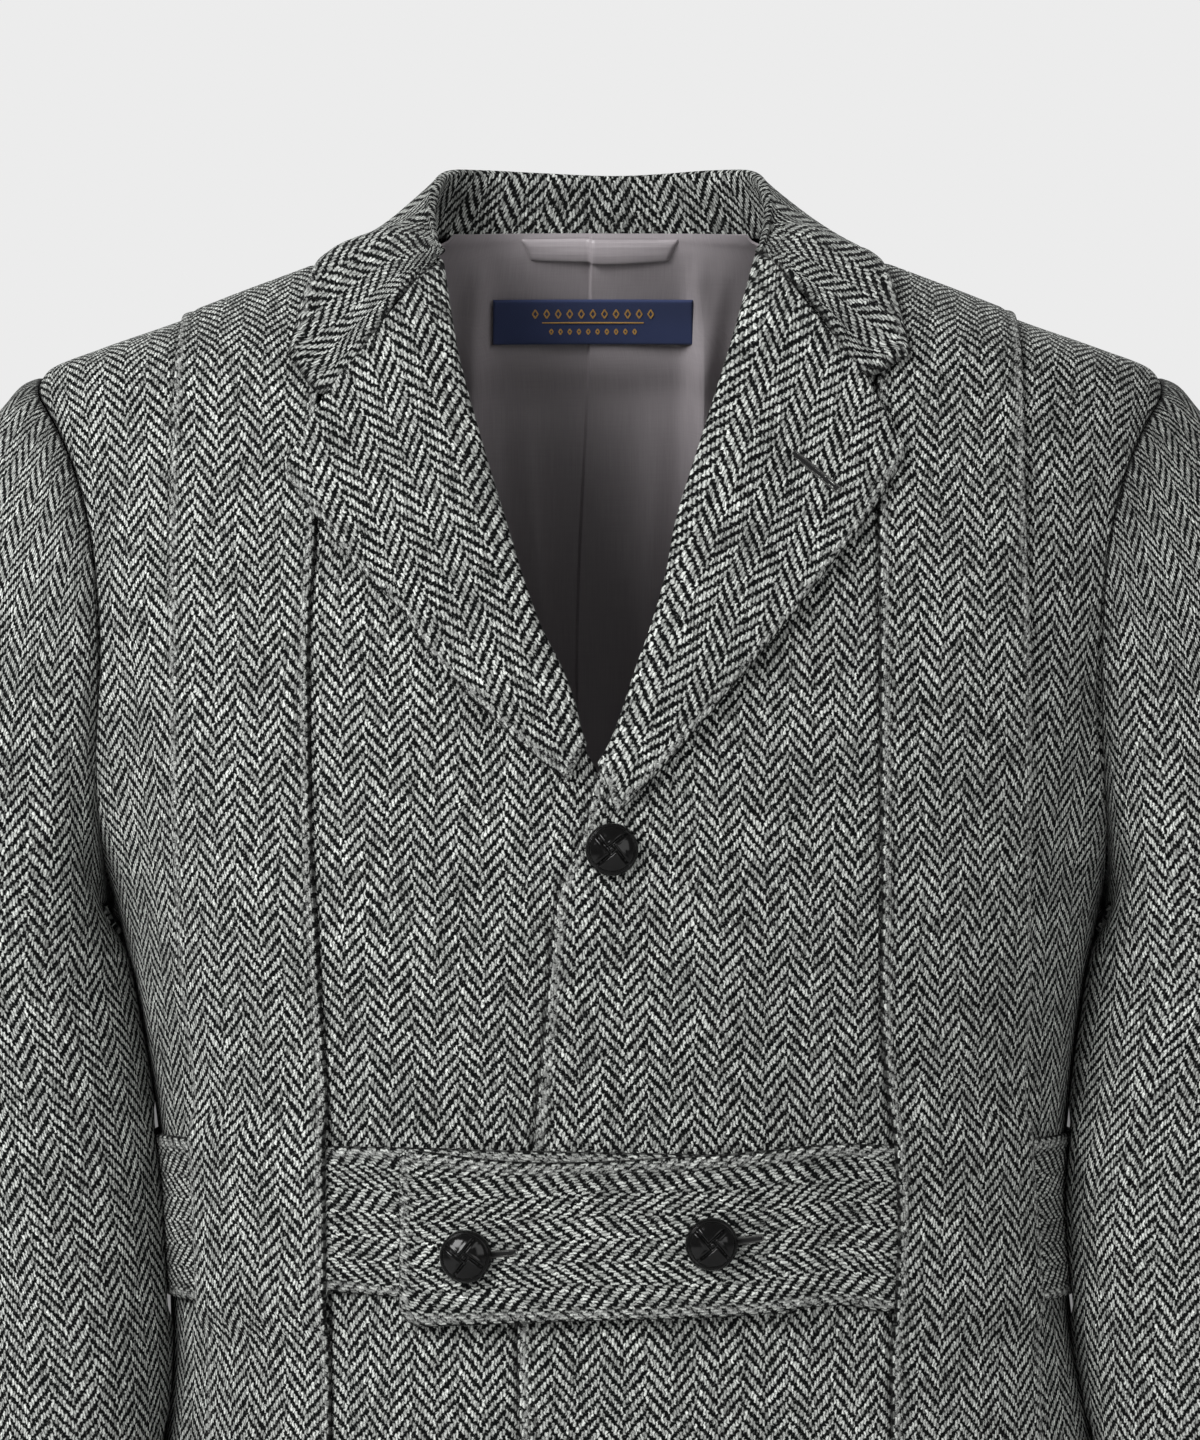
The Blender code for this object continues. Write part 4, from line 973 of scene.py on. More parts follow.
def build_panels(panels, tweed):
    for (hand, side), (points, normals, shape, flat) in panels.items():
        node = panel_name(hand, side)
        parts = FRONT_PARTS if side < 0 else BACK_PARTS
        first = len(parts[0]) - 1
        last = first + len(parts[1]) - 1
        lift = overlap_lift(points) if (hand, side) == (1, -1) else np.zeros(points.shape[:2])
        free = ("left", "bottom") if side < 0 else ("bottom",)
        thick = TWEED * turned(points, free, PANEL_TURNED)
        joined = ("right", "top") if side < 0 else ("left", "right", "top")
        seams = sewn_line(points, joined, 0.0, SEAM_WIDTH)
        beside_strap = np.maximum(beside(points, first, 0.0010), beside(points, last, 0.0010))
        edge = 0.0
        if side < 0:
            edge = edge_shade_and_rub(points, ("left",), FRONT_RUB) if hand > 0 else under_edge(points)
        row = sewn_line(points, ("left",), FRONT_STITCH_INSET, STITCH_WIDTH) if side < 0 else 0.0
        sunk = 0.0006 * seams + 0.0005 * beside_strap
        low = lift - TWEED + shape * 0.9 - sunk
        high = lift - TWEED + thick + shape - sunk - 0.0004 * row
        # Painted shade in the seams, beside the straps, along the fronts' edges and along the stitch rows
        laid_cloth(
            f"{node}_cloth", points, normals, low, high, flat, tweed, "tweed", node,
            shade_and_rub=0.9 * seams + 0.4 * beside_strap + edge, sewn=np.maximum(beside_strap, 0.7 * row),
        )


# Straps and belt


def over_belt_band(height, near, far):
    """1 at the belt's heights, and 0 further than far below and above it."""
    below = fade(height, BELT_BOTTOM - far, BELT_BOTTOM - near)
    return below * (1 - fade(height, BELT_TOP + near, BELT_TOP + far))


def between_columns(grid, places):
    """A grid's values at these places along its columns."""
    low = np.minimum(places.astype(int), grid.shape[1] - 2)
    t = (places - low).reshape(-1, *[1] * (grid.ndim - 2))
    return grid[:, low] * (1 - t) + grid[:, low + 1] * t


def build_straps(panels, tweed):
    over_belt = BELT_GAP + BELT_CLOTH + LAY_GAP
    for (hand, side), (points, normals, shape, _) in panels.items():
        node = f"strap_{panel_name(hand, side)}"
        inner_parts, strap_parts, _ = FRONT_PARTS if side < 0 else BACK_PARTS
        columns = slice(len(inner_parts) - 1, len(inner_parts) + len(strap_parts) - 1)
        places = mix(0, len(strap_parts) - 1, spread(34))
        grids = (points, normals, shape)
        points, normals, shape = (between_columns(grid[:, columns], places) for grid in grids)
        normals = unit(normals)
        rise = over_belt_band(points[..., 2], 0.0010, 0.0150)
        low = mix(LAY_GAP, over_belt, rise)
        thick = TWEED * turned(points, ("left", "right"), STRAP_TURNED)
        thick *= turned(points, ("bottom", "top"), STRAP_END_TURNED)
        thick *= mix(0.3, 1.0, fade(edge_distance(points, "top"), 0.0, 0.020))
        puff = 0.0009 * np.sin(math.pi * np.linspace(0, 1, points.shape[1])) ** 0.6
        sewn = sewn_line(points, ("left", "right"), STRAP_STITCH_INSET, STITCH_WIDTH)
        low = low + shape * (1 - rise)
        high = low + np.maximum(thick + puff * rise - STITCH_DEPTH * sewn, THINNEST)
        start_u = points[:, 0, 0] * -side + STRAP_SHIFT[0] * hand
        flat = flat_coordinates(points, normals, start_u, HEM + STRAP_SHIFT[1], over_shoulder(points, side))
        # Painted shade: a dark line at the strap's edges and along its stitch rows
        laid_cloth(
            f"{node}_cloth", points, normals, low, high, flat, tweed, "tweed", node,
            shade_and_rub=edge_shade_and_rub(points, ("left", "right"), STRAP_RUB), sewn=0.5 * sewn,
        )


def belt_points(hand, end, rows, columns):
    """The belt's grid: from the centre of the back round the side and on over the front to its own end."""
    heights = mix(BELT_BOTTOM, BELT_TOP, spread(rows))
    strap_edge = curve(FRONT_STRAP[hand], 1)
    low_stray, high_stray = curve(BELT_STRAY[hand], 1), curve(BELT_STRAY[hand], 2)
    grid = []
    for height, part in zip(heights, spread(rows)):
        quarter = np.linspace(math.pi / 2, 0, columns, endpoint=False)
        back = angle_points(quarter, np.full(columns, height), 1, hand)
        strap_x = strap_edge(height)
        start = math.acos(min(abs(hand * strap_x - centre_x(height)) / half_width(height), 1) ** (POWER / 2))
        turn = np.linspace(0.0, start, columns, endpoint=False)
        side = angle_points(turn, np.full(columns, height), -1, hand)
        x = mix(hand * strap_x, end, spread(columns + 50, fine_start=False))
        stray = mix(low_stray(x), high_stray(x), part)
        front = form_points(x, height + stray, -1)
        back[0, 0] = hand * SEAM_GAP / 2
        grid.append(np.concatenate([back, side, front]))
    return np.array(grid)


def build_belt(tweed):
    for hand, word, end in ((-1, "right", UNDER_BELT_END), (1, "left", OVER_BELT_END)):
        points = belt_points(hand, end, 26, 60)
        if hand > 0:
            points = round_corner(points)
        normals = form_normals(points)
        x, front = points[..., 0], points[..., 1] < centre_y(points[..., 2])
        cover = OVERLAP_LIFT * fade(x, BELT_STEP_FADE, BELT_STEP) * (1 - fade(x, OVERLAP_END, OVERLAP_FADE))
        low = BELT_GAP + np.where(front, cover, 0.0)
        if hand > 0:
            over = (BELT_CLOTH + LAY_GAP) * (1 - fade(x, BELT_SWAP_START, BELT_SWAP_FADE))
            low = low + np.where(front, over, 0.0)
        ends = ("bottom", "top", "right")
        thick = BELT_CLOTH * turned(points, ends, TURNED)
        sewn = sewn_line(points, ends, BELT_STITCH_INSET, WIDE_STITCH)
        wave = unevenness(points, 11 + hand, 0.07, 0.0004) * fade(edge_distance(points, "right"), 0.0, 0.02)
        flat = flat_coordinates(points, normals, 0.0, 0.0)[..., ::-1]
        flat = flat * np.array([1.0, -1.0 if hand < 0 else 1.0]) + np.array(BELT_SHIFT)
        high = low + np.maximum(thick - 0.0006 * sewn + wave, THINNEST)
        # Painted shade: a dark line at the belt's edges and along its stitch rows
        laid_cloth(
            f"belt_{word}_cloth", points, normals, low, high, flat, tweed, "tweed", f"belt_{word}",
            shade_and_rub=edge_shade_and_rub(points, ends, BELT_RUB), sewn=0.6 * sewn,
        )


def round_corner(points):
    """The over belt's end, with its corners rounded off."""
    radius = 0.009
    x, z = points[..., 0], points[..., 2]
    end, bottom, top = points[:, -1, 0].min(), z[0, -1], z[-1, -1]
    for edge, way in ((bottom, 1), (top, -1)):
        reach = radius if way > 0 else radius * 0.45
        into_x = np.clip((end + reach - x) / reach, 0, 1)
        into_z = np.clip((edge + way * reach - z) * way / reach, 0, 1)
        near = (into_x > 0) & (into_z > 0)
        shrink = np.maximum(np.maximum(into_x, into_z), 1e-6) / np.maximum(np.hypot(into_x, into_z), 1e-6)
        x = np.where(near, x + reach * into_x * (1 - shrink), x)
        z = np.where(near, z + way * reach * into_z * (1 - shrink), z)
    on_form = form_points(x, z, -1)
    front = (points[..., 1] < 0) & (points[..., 0] < end + 0.02)
    return np.where(front[..., None], on_form, points)


# Lapels and collar


def build_lapels(tweed):
    for hand, word in HANDS.items():
        edge = curve(FRONT_EDGE[hand], 1)
        rows = []
        for roll_height, edge_x, edge_height in LAPEL[hand]:
            roll, outer = np.array([float(edge(roll_height)), roll_height]), np.array([edge_x, edge_height])
            rows.append([tuple(mix(roll, outer, part)) for part in LAPEL_PARTS])
        rows.append(list(LAPEL_TOP[hand]))
        places = refined(np.array(rows), 12, 14)
        points = form_points(hand * places[..., 0], places[..., 1], -1)
        normals = form_normals(points)
        lift = np.where(points[..., 0] > LAPEL_OVERLAP_EDGE, overlap_lift(points), 0.0)
        from_roll = edge_distance(points, "left")
        low = lift + mix(ROLL_LIFT, LAPEL_LIFT, fade(from_roll, 0.0, 0.016))
        borders = ("bottom", "right")
        thick = LAPEL_CLOTH * turned(points, borders, TURNED)
        thick *= mix(0.55, 1.0, turned(points, ("top",), GORGE_TURNED))
        roll = np.sqrt(np.clip(1 - (1 - np.clip(from_roll / 0.0045, 0, 1)) ** 2, 0, 1))
        sewn = sewn_line(points, borders, LAPEL_STITCH_INSET, WIDE_STITCH)
        gorge = sewn_line(points, ("top",), 0.0, FINE_SEAM_WIDTH)
        swell = 0.0012 * fade(from_roll, 0.0, 0.02) * fade(edge_distance(points, "bottom"), 0.0, 0.06)
        swell += unevenness(points, 21, 0.08, 0.0003)
        inner = points + normals * (low - 0.0005 * (1 - roll))[..., None]
        face = low + np.maximum(thick - STITCH_DEPTH * sewn, THINNEST) + swell * roll - (1 - roll) * 0.0032
        outer = points + normals * face[..., None]
        turn_in = np.array([-hand * 0.0016, 0.0, 0.0]) * np.clip(1 - from_roll / 0.010, 0, 1)[..., None]
        tilt = math.radians(20) * hand
        cos, sin = math.cos(tilt), math.sin(tilt)
        flat = points[..., [0, 2]] @ np.array([[cos, sin], [-sin, cos]])
        # Painted shade in the gorge seam, a dark line at the edges, and along the stitch rows
        shade_and_rub = 0.8 * gorge + edge_shade_and_rub(points, borders, LAPEL_RUB)
        mesh = cloth_mesh(f"lapel_{word}_cloth", outer + turn_in, inner + turn_in, flat, shade_and_rub, 0.5 * sewn)
        add_piece(f"lapel_{word}_cloth", mesh, tweed, "tweed", f"lapel_{word}")


def collar_station(index, hand):
    """One section of the collar: up the stand, over the fold and down the fall, on the visible face."""
    row = np.array(COLLAR[index]).reshape(3, 3) * np.array([hand, 1, 1])
    seam, fold, edge = row
    away = unit(np.array([fold[0], max(fold[1], SEAM_GAP), 0.0]))
    width = FOLD_WIDTH * min(1.0, np.linalg.norm(fold - seam) / FULL_STAND)
    down = np.array([0, 0, -width * FOLD_DROP])
    under, top, over = fold + down, fold + away * width / 2, fold + away * width + down
    points = [seam, mix(seam, under, STAND_MIDDLE), under, top, over]
    inwards = [away, away, away, np.array([0, 0, -1.0]), -away]
    for number, part in enumerate(FALL_PARTS):
        point = mix(over, edge, part)
        if index == len(COLLAR) - 1:
            corner = LAPEL_TOP[hand][number + 1] if number < 3 else (edge[0] * hand, edge[2])
            point = form_points(hand * corner[0], corner[1] + GORGE_GAP, -1)
        point = clear_of_form(point[None], COLLAR_LIFT[index])[0]
        points.append(point)
        inwards.append(-form_normals(point[None])[0])
    return points, inwards


def collar_flat(points, normals):
    """The collar's flat coordinates: its warp runs up the stand, over the fold and out over the fall."""
    fold = 3 * COLLAR_STEPS
    sections = [np.array(row).reshape(3, 3) for row in COLLAR]
    falls = [section[2] - section[1] for section in sections]
    leans = [fall * np.array([-1, 1, 1]) for fall in falls[:0:-1]] + falls
    places = np.linspace(0, len(leans) - 1, len(points))
    lean = np.stack([np.interp(places, range(len(leans)), np.array(leans)[:, axis]) for axis in range(3)], -1)
    lean = np.broadcast_to(lean[:, None], points.shape)
    along = unit(lean - normals * (lean * normals).sum(-1, keepdims=True))
    sideways = unit(np.cross(along, normals))
    steps = np.diff(points, axis=1)
    aside = (steps * (sideways[:, 1:] + sideways[:, :-1]) / 2).sum(-1)
    ahead = (steps * (along[:, 1:] + along[:, :-1]) / 2).sum(-1)
    run = np.concatenate([[0.0], np.cumsum(np.linalg.norm(np.diff(points[:, fold + 6], axis=0), axis=-1))])
    run = run - run[len(run) // 2] + COLLAR_SHIFT
    up = edge_distance(points, "left") / STAND_STRETCH
    u = np.broadcast_to(run[:, None], up.shape).copy()
    v = up.copy()
    u[:, fold + 1 :] += np.cumsum(aside[:, fold:], axis=1)
    v[:, fold + 1 :] = up[:, [fold]] + np.cumsum(ahead[:, fold:], axis=1)
    return np.stack([u, v], -1)


def build_collar(tweed):
    stations = [collar_station(index, -1) for index in range(len(COLLAR) - 1, -1, -1)]
    stations += [collar_station(index, 1) for index in range(1, len(COLLAR))]
    outside = refined(np.array([points for points, _ in stations]), 9, COLLAR_STEPS)
    inwards = unit(refined(np.array([ways for _, ways in stations]), 9, COLLAR_STEPS))
    normals = grid_normals(outside, -inwards)
    fall = edge_distance(outside, "right")
    thin = 1 - turned(outside, ("right", "bottom", "top"), COLLAR_TURNED)
    sewn = sewn_line(outside, ("right",), LAPEL_STITCH_INSET, WIDE_STITCH)
    seams = sewn_line(outside, ("left", "bottom", "top"), 0.0, FINE_SEAM_WIDTH)
    wave = unevenness(outside, 31, 0.07, 0.0004) * fade(fall, 0.0, 0.012)
    shift = (-thin * COLLAR_CLOTH * 0.8 - STITCH_DEPTH * sewn + wave)[..., None]
    inner = outside + inwards * COLLAR_CLOTH
    flat = collar_flat(outside, normals)
    # Painted shade over the stand below the fold, in the seams, at the fall's edge and along its stitches
    painted_shade = 0.34 * (1 - fade(edge_distance(outside, "left"), 0.024, 0.030))
    shade_and_rub = np.maximum(0.8 * seams, painted_shade) + edge_shade_and_rub(outside, ("right",), COLLAR_RUB)
    mesh = cloth_mesh("collar_cloth", outside + normals * shift, inner, flat, shade_and_rub, 0.4 * sewn)
    add_piece("collar_cloth", mesh, tweed, "tweed", "collar")


# Sleeves


ARM = [curve(sorted(SLEEVE), column) for column in range(1, 6)]


def armhole_loop(hand, turns):
    """The armhole's seam: a turn of 0 is the shoulder point, and it goes down the front and up the back."""
    front = turns <= math.pi
    rise = np.where(front, math.pi / 2 - turns, turns - math.pi * 1.5)
    height = ARMHOLE_CENTRE + ARMHOLE_HALF_HEIGHT * np.sin(rise)
    reach = np.where(front, ARMHOLE_FRONT, ARMHOLE_BACK) * np.cos(rise)
    depth = np.where(front, front_depth(height), back_depth(height))
    share = np.clip(reach / depth, 0.0, 1.0)
    x = centre_x(height) + hand * half_width(height) * (1 - share**POWER) ** (1 / POWER)
    y = centre_y(height) + np.where(front, -1, 1) * np.maximum(reach, SEAM_GAP / 2)
    return np.stack([x, y, height], -1)


def sleeve_grid(hand, turns, head_rows, arm_rows):
    """Rings of points from the armhole to the cuff."""
    loop = armhole_loop(hand, turns)
    ahead, behind = (armhole_loop(hand, (turns + step) % (2 * math.pi)) for step in (0.05, -0.05))
    into_hole = unit(np.cross(form_normals(loop), ahead - behind))
    towards = np.array([0, 0, ARMHOLE_CENTRE]) - loop * np.array([0, 1, 1])
    into_hole *= np.where((into_hole * towards).sum(-1, keepdims=True) < 0, -1, 1)
    starts = loop + into_hole * (SEAM_GAP + LAY_GAP / 2)

    def ring(height):
        inner_x, shift, middle_y, across, deep = (read(height) for read in ARM)
        x = hand * (inner_x + across) + shift + hand * across * np.cos(turns)
        return np.stack([x, middle_y - deep * np.sin(turns), np.full_like(turns, height)], -1)

    high = 0.5 + 0.5 * np.cos(turns)
    out, down = HEAD_OUT[0] + HEAD_OUT[1] * high, HEAD_DOWN[0] + HEAD_DOWN[1] * high
    leave = np.stack([hand * out, -HEAD_FORWARD * np.sin(turns), -down], -1)
    upper, below = ring(SLEEVE[0][0]), ring(SLEEVE[1][0])
    arrive = unit(below - upper) * (HEAD_ARRIVE[0] + HEAD_ARRIVE[1] * high)[:, None]
    rings = []
    for t in spread(head_rows + 1, fine_end=False)[:-1]:
        line = (
            starts * (2 * t**3 - 3 * t**2 + 1) + leave * (t**3 - 2 * t**2 + t)
            + upper * (3 * t**2 - 2 * t**3) + arrive * (t**3 - t**2)
        )
        rings.append(clear_of_form(line, SLEEVE_CLEAR * t) if t > 0 else line)
    for height in mix(SLEEVE[0][0], SLEEVE[-1][0], spread(arm_rows, fine_start=False)):
        past_pocket = 1 - fade(height, POCKET_TOP + 0.003, POCKET_TOP + 0.012)
        past = max(over_belt_band(height, 0.003, 0.012), past_pocket)
        rings.append(clear_of_form(ring(height), mix(SLEEVE_CLEAR, SLEEVE_CLEAR_OVER, past)))
    return np.array(rings)


def around_arm(points, hand, turns):
    """How far round the arm each point lies, in metres of cloth from the arm's outermost line.

    It is an angle times a radius over the arm's top, and measured along the cloth on its inner side.
    """
    z = points[..., 2]
    inner_x, shift, middle_y, across, _ = (read(z) for read in ARM)
    near_top = fade(z, SLEEVE[0][0], SHOULDER_POINT)
    out = hand * (points[..., 0] - shift * (1 - near_top)) - mix(inner_x + across, ARM_TOP[0], near_top)
    ahead = mix(middle_y, ARM_TOP[1], near_top) - points[..., 1]
    u = np.hypot(ahead, out) * np.arctan2(ahead, out)
    steps = np.linalg.norm(np.diff(points[..., :2], axis=1), axis=-1)
    front, back = np.searchsorted(turns, math.pi / 2), np.searchsorted(turns, -math.pi / 2)
    u[:, front + 1 :] = u[:, [front]] + np.cumsum(steps[:, front:], axis=1)
    u[:, :back] = u[:, [back]] - np.cumsum(steps[:, back - 1 :: -1], axis=1)[:, ::-1]
    return u


SLEEVE_FOLDS = {
    1: (
        ((0.262, -0.300), (0.205, -0.395), 0.010, -0.0030),
        ((0.300, -0.330), (0.222, -0.440), 0.011, -0.0030),
        ((0.225, -0.180), (0.262, -0.270), 0.012, -0.0030),
        ((0.210, -0.455), (0.290, -0.500), 0.012, -0.0024),
        ((0.300, -0.150), (0.305, -0.290), 0.014, -0.0020),
    ),
    -1: (
        ((-0.262, -0.310), (-0.205, -0.400), 0.010, -0.0030),
        ((-0.300, -0.330), (-0.220, -0.450), 0.011, -0.0030),
        ((-0.225, -0.180), (-0.258, -0.275), 0.012, -0.0030),
        ((-0.212, -0.460), (-0.285, -0.500), 0.012, -0.0024),
        ((-0.300, -0.150), (-0.302, -0.290), 0.014, -0.0020),
    ),
}


def build_sleeves(tweed):
    seam_low, seam_high = (2 * math.pi * part for part in SLEEVE_SEAMS)
    gap = 0.0025
    top_turns = mix(seam_high - 2 * math.pi + gap, seam_low - gap, spread(TOP_COLUMNS))
    turns = np.concatenate([top_turns, mix(seam_low + gap, seam_high - gap, spread(UNDER_COLUMNS))])
    for hand, word in HANDS.items():
        whole = sleeve_grid(hand, turns % (2 * math.pi), 46, 84)
        whole_normals = grid_normals(whole, whole - np.mean(whole, axis=1, keepdims=True))
        whole_flat = flat_coordinates(whole, whole_normals, 0.0, 0.0, row=len(whole) - 1)
        whole_flat[..., 0] = around_arm(whole, hand, turns)
        level = fade(np.abs(turns), math.pi / 4, math.pi / 2)
        whole_flat[..., 1] = mix(whole_flat[..., 1], whole[..., 2] - SLEEVE[-1][0], level)
        for name, columns in (("top", slice(0, TOP_COLUMNS)), ("under", slice(TOP_COLUMNS, None))):
            points, normals, flat = whole[:, columns], whole_normals[:, columns], whole_flat[:, columns]
            down = edge_distance(points, "bottom")
            away = off_form(points)[0]
            free = fade(away, 0.002, 0.016)
            shape = folds(points, SLEEVE_FOLDS[hand]) * (1 if name == "top" else 0.5) * fade(down, 0.0, 0.05)
            shape = (shape + unevenness(points, 41 + hand, 0.11, 0.0009) * fade(down, 0.0, 0.05)) * free
            back_seam = sewn_line(points, ("left" if name == "top" else "right",), 0.0, FINE_SEAM_WIDTH)
            head = np.exp(-((down / 0.0011) ** 2))
            roll = 0.0016 * np.exp(-(((down - 0.008) / 0.007) ** 2))
            cuff = TWEED * (1 - turned(points, ("top",), TURNED))
            raised = shape + roll - 0.0008 * back_seam - 0.0005 * head
            # Painted shade: a dark line at the sleeve head's seam, in the back seam, and where the sleeve
            # hangs close to the body
            painted_shade = 0.38 * (1 - fade(away, 0.002, 0.012))
            shade_and_rub = np.maximum(np.maximum(0.8 * back_seam, 0.9 * head), painted_shade)
            laid_cloth(
                f"sleeve_{name}_{word}_cloth", points, normals, raised - TWEED, raised - cuff, flat,
                tweed, "tweed", f"sleeve_{name}_{word}", shade_and_rub=shade_and_rub,
            )


# Lining, label and loop


LINING_FOLDS = (
    ((-0.052, 0.006), (-0.055, -0.240), 0.0055, 0.0060),
    ((-0.068, 0.004), (-0.062, -0.240), 0.0050, -0.0022),
    ((0.042, 0.006), (0.052, -0.200), 0.0055, 0.0060),
    ((0.052, 0.000), (0.040, -0.160), 0.0050, 0.0040),
    ((0.072, 0.004), (0.056, -0.200), 0.0060, -0.0022),
    ((0.022, -0.060), (0.016, -0.300), 0.0080, 0.0028),
    ((-0.028, -0.050), (-0.022, -0.300), 0.0080, 0.0026),
)


def lining_face(points):
    """How far inside the form the lining's near face lies: the pleat's upper layer is nearer the front."""
    x, z = points[..., 0], points[..., 2]
    deep = TWEED + LINING_LIFT + LINING_NECK_LIFT * fade(z, *LINING_NECK) + LINING_CLOTH
    lean = -0.0059 * (1 - fade(z, -0.170, 0.007))
    step = fade(x, PLEAT_TOP_LAYER + lean - 0.0008, PLEAT_TOP_LAYER + lean + 0.0004)
    return deep + PLEAT_DEPTH * step * (1 - fade(x, PLEAT_TOP_LAYER + 0.006, PLEAT_FADE))


def build_lining(satin):
    across = np.unique(np.concatenate([
        np.linspace(-1, 1, 110), np.linspace(-0.10, 0.0, 46), np.linspace(0.0, 0.3, 24)
    ]))
    heights = mix(*LINING_ROWS, 1 - spread(150, fine_end=False)[::-1])
    kept = LABEL_X[1]
    grid = []
    for height in heights:
        share = mix(LINING_REACH, LINING_NECK_REACH, fade(height, -0.080, -0.030))
        reach = min(LINING_HALF, share * half_width(height))
        x = across * LINING_HALF
        far = np.abs(x) > kept
        drawn = np.sign(x) * mix(kept, reach, (np.abs(x) - kept) / (LINING_HALF - kept))
        grid.append(form_points(np.where(far, drawn, x), height, 1))
    points = np.array(grid)
    normals = -form_normals(points)
    near = edge_distance(points, "top")
    soft = folds(points, LINING_FOLDS) * fade(near, 0.0, 0.02) * fade(points[..., 2], -0.69, -0.50)
    face = lining_face(points) + np.maximum(soft, -0.0022) + 0.0004
    flat = flat_coordinates(points, normals, points[:, 0, 0], 0.0)
    laid_cloth(
        "lining_back_satin", points, normals, face - LINING_CLOTH, face, flat, satin, "lining", "lining_back"
    )


def build_label(navy, gold):
    x = mix(*LABEL_X, spread(60))
    z = mix(*LABEL_Z, spread(24))
    points = form_points(x[None], z[:, None], 1)
    normals = -form_normals(points)
    face = TWEED + LINING_LIFT + LINING_NECK_LIFT + PLEAT_DEPTH + LINING_CLOTH + SEAM_GAP
    thick = LABEL_CLOTH * turned(points, ("left", "right", "bottom", "top"), 0.0008)
    flat = np.stack(np.broadcast_arrays(x[None], z[:, None]), -1)
    laid_cloth("neck_label_weave", points, normals, face, face + thick, flat, navy, "label", "neck_label")
    work = bmesh.new()

    def thread_bar(x0, z0, x1, z1, half):
        centre = np.array([[x0, z0], [x1, z1]])
        way = unit(centre[1] - centre[0])
        side = np.array([-way[1], way[0]]) * half
        corners = [centre[0] + side, centre[0] - side, centre[1] - side, centre[1] + side]
        spot = form_points(np.array([c[0] for c in corners]), np.array([c[1] for c in corners]), 1)
        inward = -form_normals(spot)
        low = [work.verts.new(p) for p in spot + inward * (face + LABEL_CLOTH * 0.6)]
        high = [work.verts.new(p) for p in spot + inward * (face + LABEL_CLOTH + 0.00022)]
        work.faces.new(high)
        for k in range(4):
            work.faces.new((high[k - 1], low[k - 1], low[k], high[k]))

    middle_x, middle_z = sum(LABEL_X) / 2, sum(LABEL_Z) / 2
    for row, (rise, half_run, size) in enumerate(DIAMONDS):
        count = DIAMONDS_IN_ROW - row
        for k in range(count):
            centre = middle_x + mix(-half_run, half_run, k / (count - 1))
            for up_or_down in (1, -1):
                tip = middle_z + rise + up_or_down * size * 0.8
                for aside in (-size / 2, size / 2):
                    thread_bar(centre + aside, middle_z + rise, centre, tip, DIAMOND_THREAD)
    thread_bar(middle_x - RULE_HALF, middle_z, middle_x + RULE_HALF, middle_z, RULE_THREAD)
    bmesh.ops.recalc_face_normals(work, faces=work.faces)
    mesh = bpy.data.meshes.new("neck_label_marks")
    work.to_mesh(mesh)
    work.free()
    mesh.uv_layers.new(name="cloth")
    add_piece("neck_label_marks", mesh, gold, "label")


def build_loop(satin):
    across = np.linspace(-1, 1, 60)
    up = spread(14)
    x = across[None] * (LOOP_HALF - LOOP_SLANT * (1 - up[:, None]))
    z = mix(*LOOP_Z, up)[:, None] + 0 * x
    points = form_points(x, z, 1)
    normals = -form_normals(points)
    low = lining_face(points) + LOOP_STAND_OFF * np.cos(across * math.pi / 2)[None] ** 0.6
    thick = LOOP_CLOTH * turned(points, ("bottom", "top"), 0.0022) * turned(points, ("left", "right"), 0.0010)
    sewn = LOOP_STITCH_DEPTH * sewn_line(points, ("bottom", "top"), LOOP_STITCH_INSET, LOOP_STITCH_WIDTH)
    flat = np.stack([z, x], -1)
    laid_cloth(
        "hanger_loop_satin", points, normals, low, low + np.maximum(thick - sewn, THINNEST) + SEAM_GAP, flat,
        satin, "lining", "hanger_loop",
    )


# Pockets, buttons and sewing


def build_pockets(panels, tweed):
    for hand, word in HANDS.items():
        points, normals, shape, flat = panels[hand, -1]
        first = len(FRONT_PARTS[0]) + len(FRONT_PARTS[1]) - 2
        rows = np.where((points[:, -1, 2] >= POCKET_BOTTOM) & (points[:, -1, 2] <= POCKET_TOP))[0]
        area = np.ix_(rows, range(first + 3, points.shape[1]))
        part, ways = points[area], normals[area]
        thick = TWEED * turned(part, ("left", "bottom", "top"), COLLAR_TURNED)
        sewn = STITCH_DEPTH * sewn_line(part, ("left", "bottom"), POCKET_STITCH_INSET, POCKET_STITCH_WIDTH)
        low = LAY_GAP + shape[area]
        flat = flat[area] + np.array(POCKET_SHIFT)
        laid_cloth(
            f"pocket_{word}_cloth", part, ways, low, low + np.maximum(thick - sewn, THINNEST), flat,
            tweed, "tweed", f"pocket_{word}",
        )


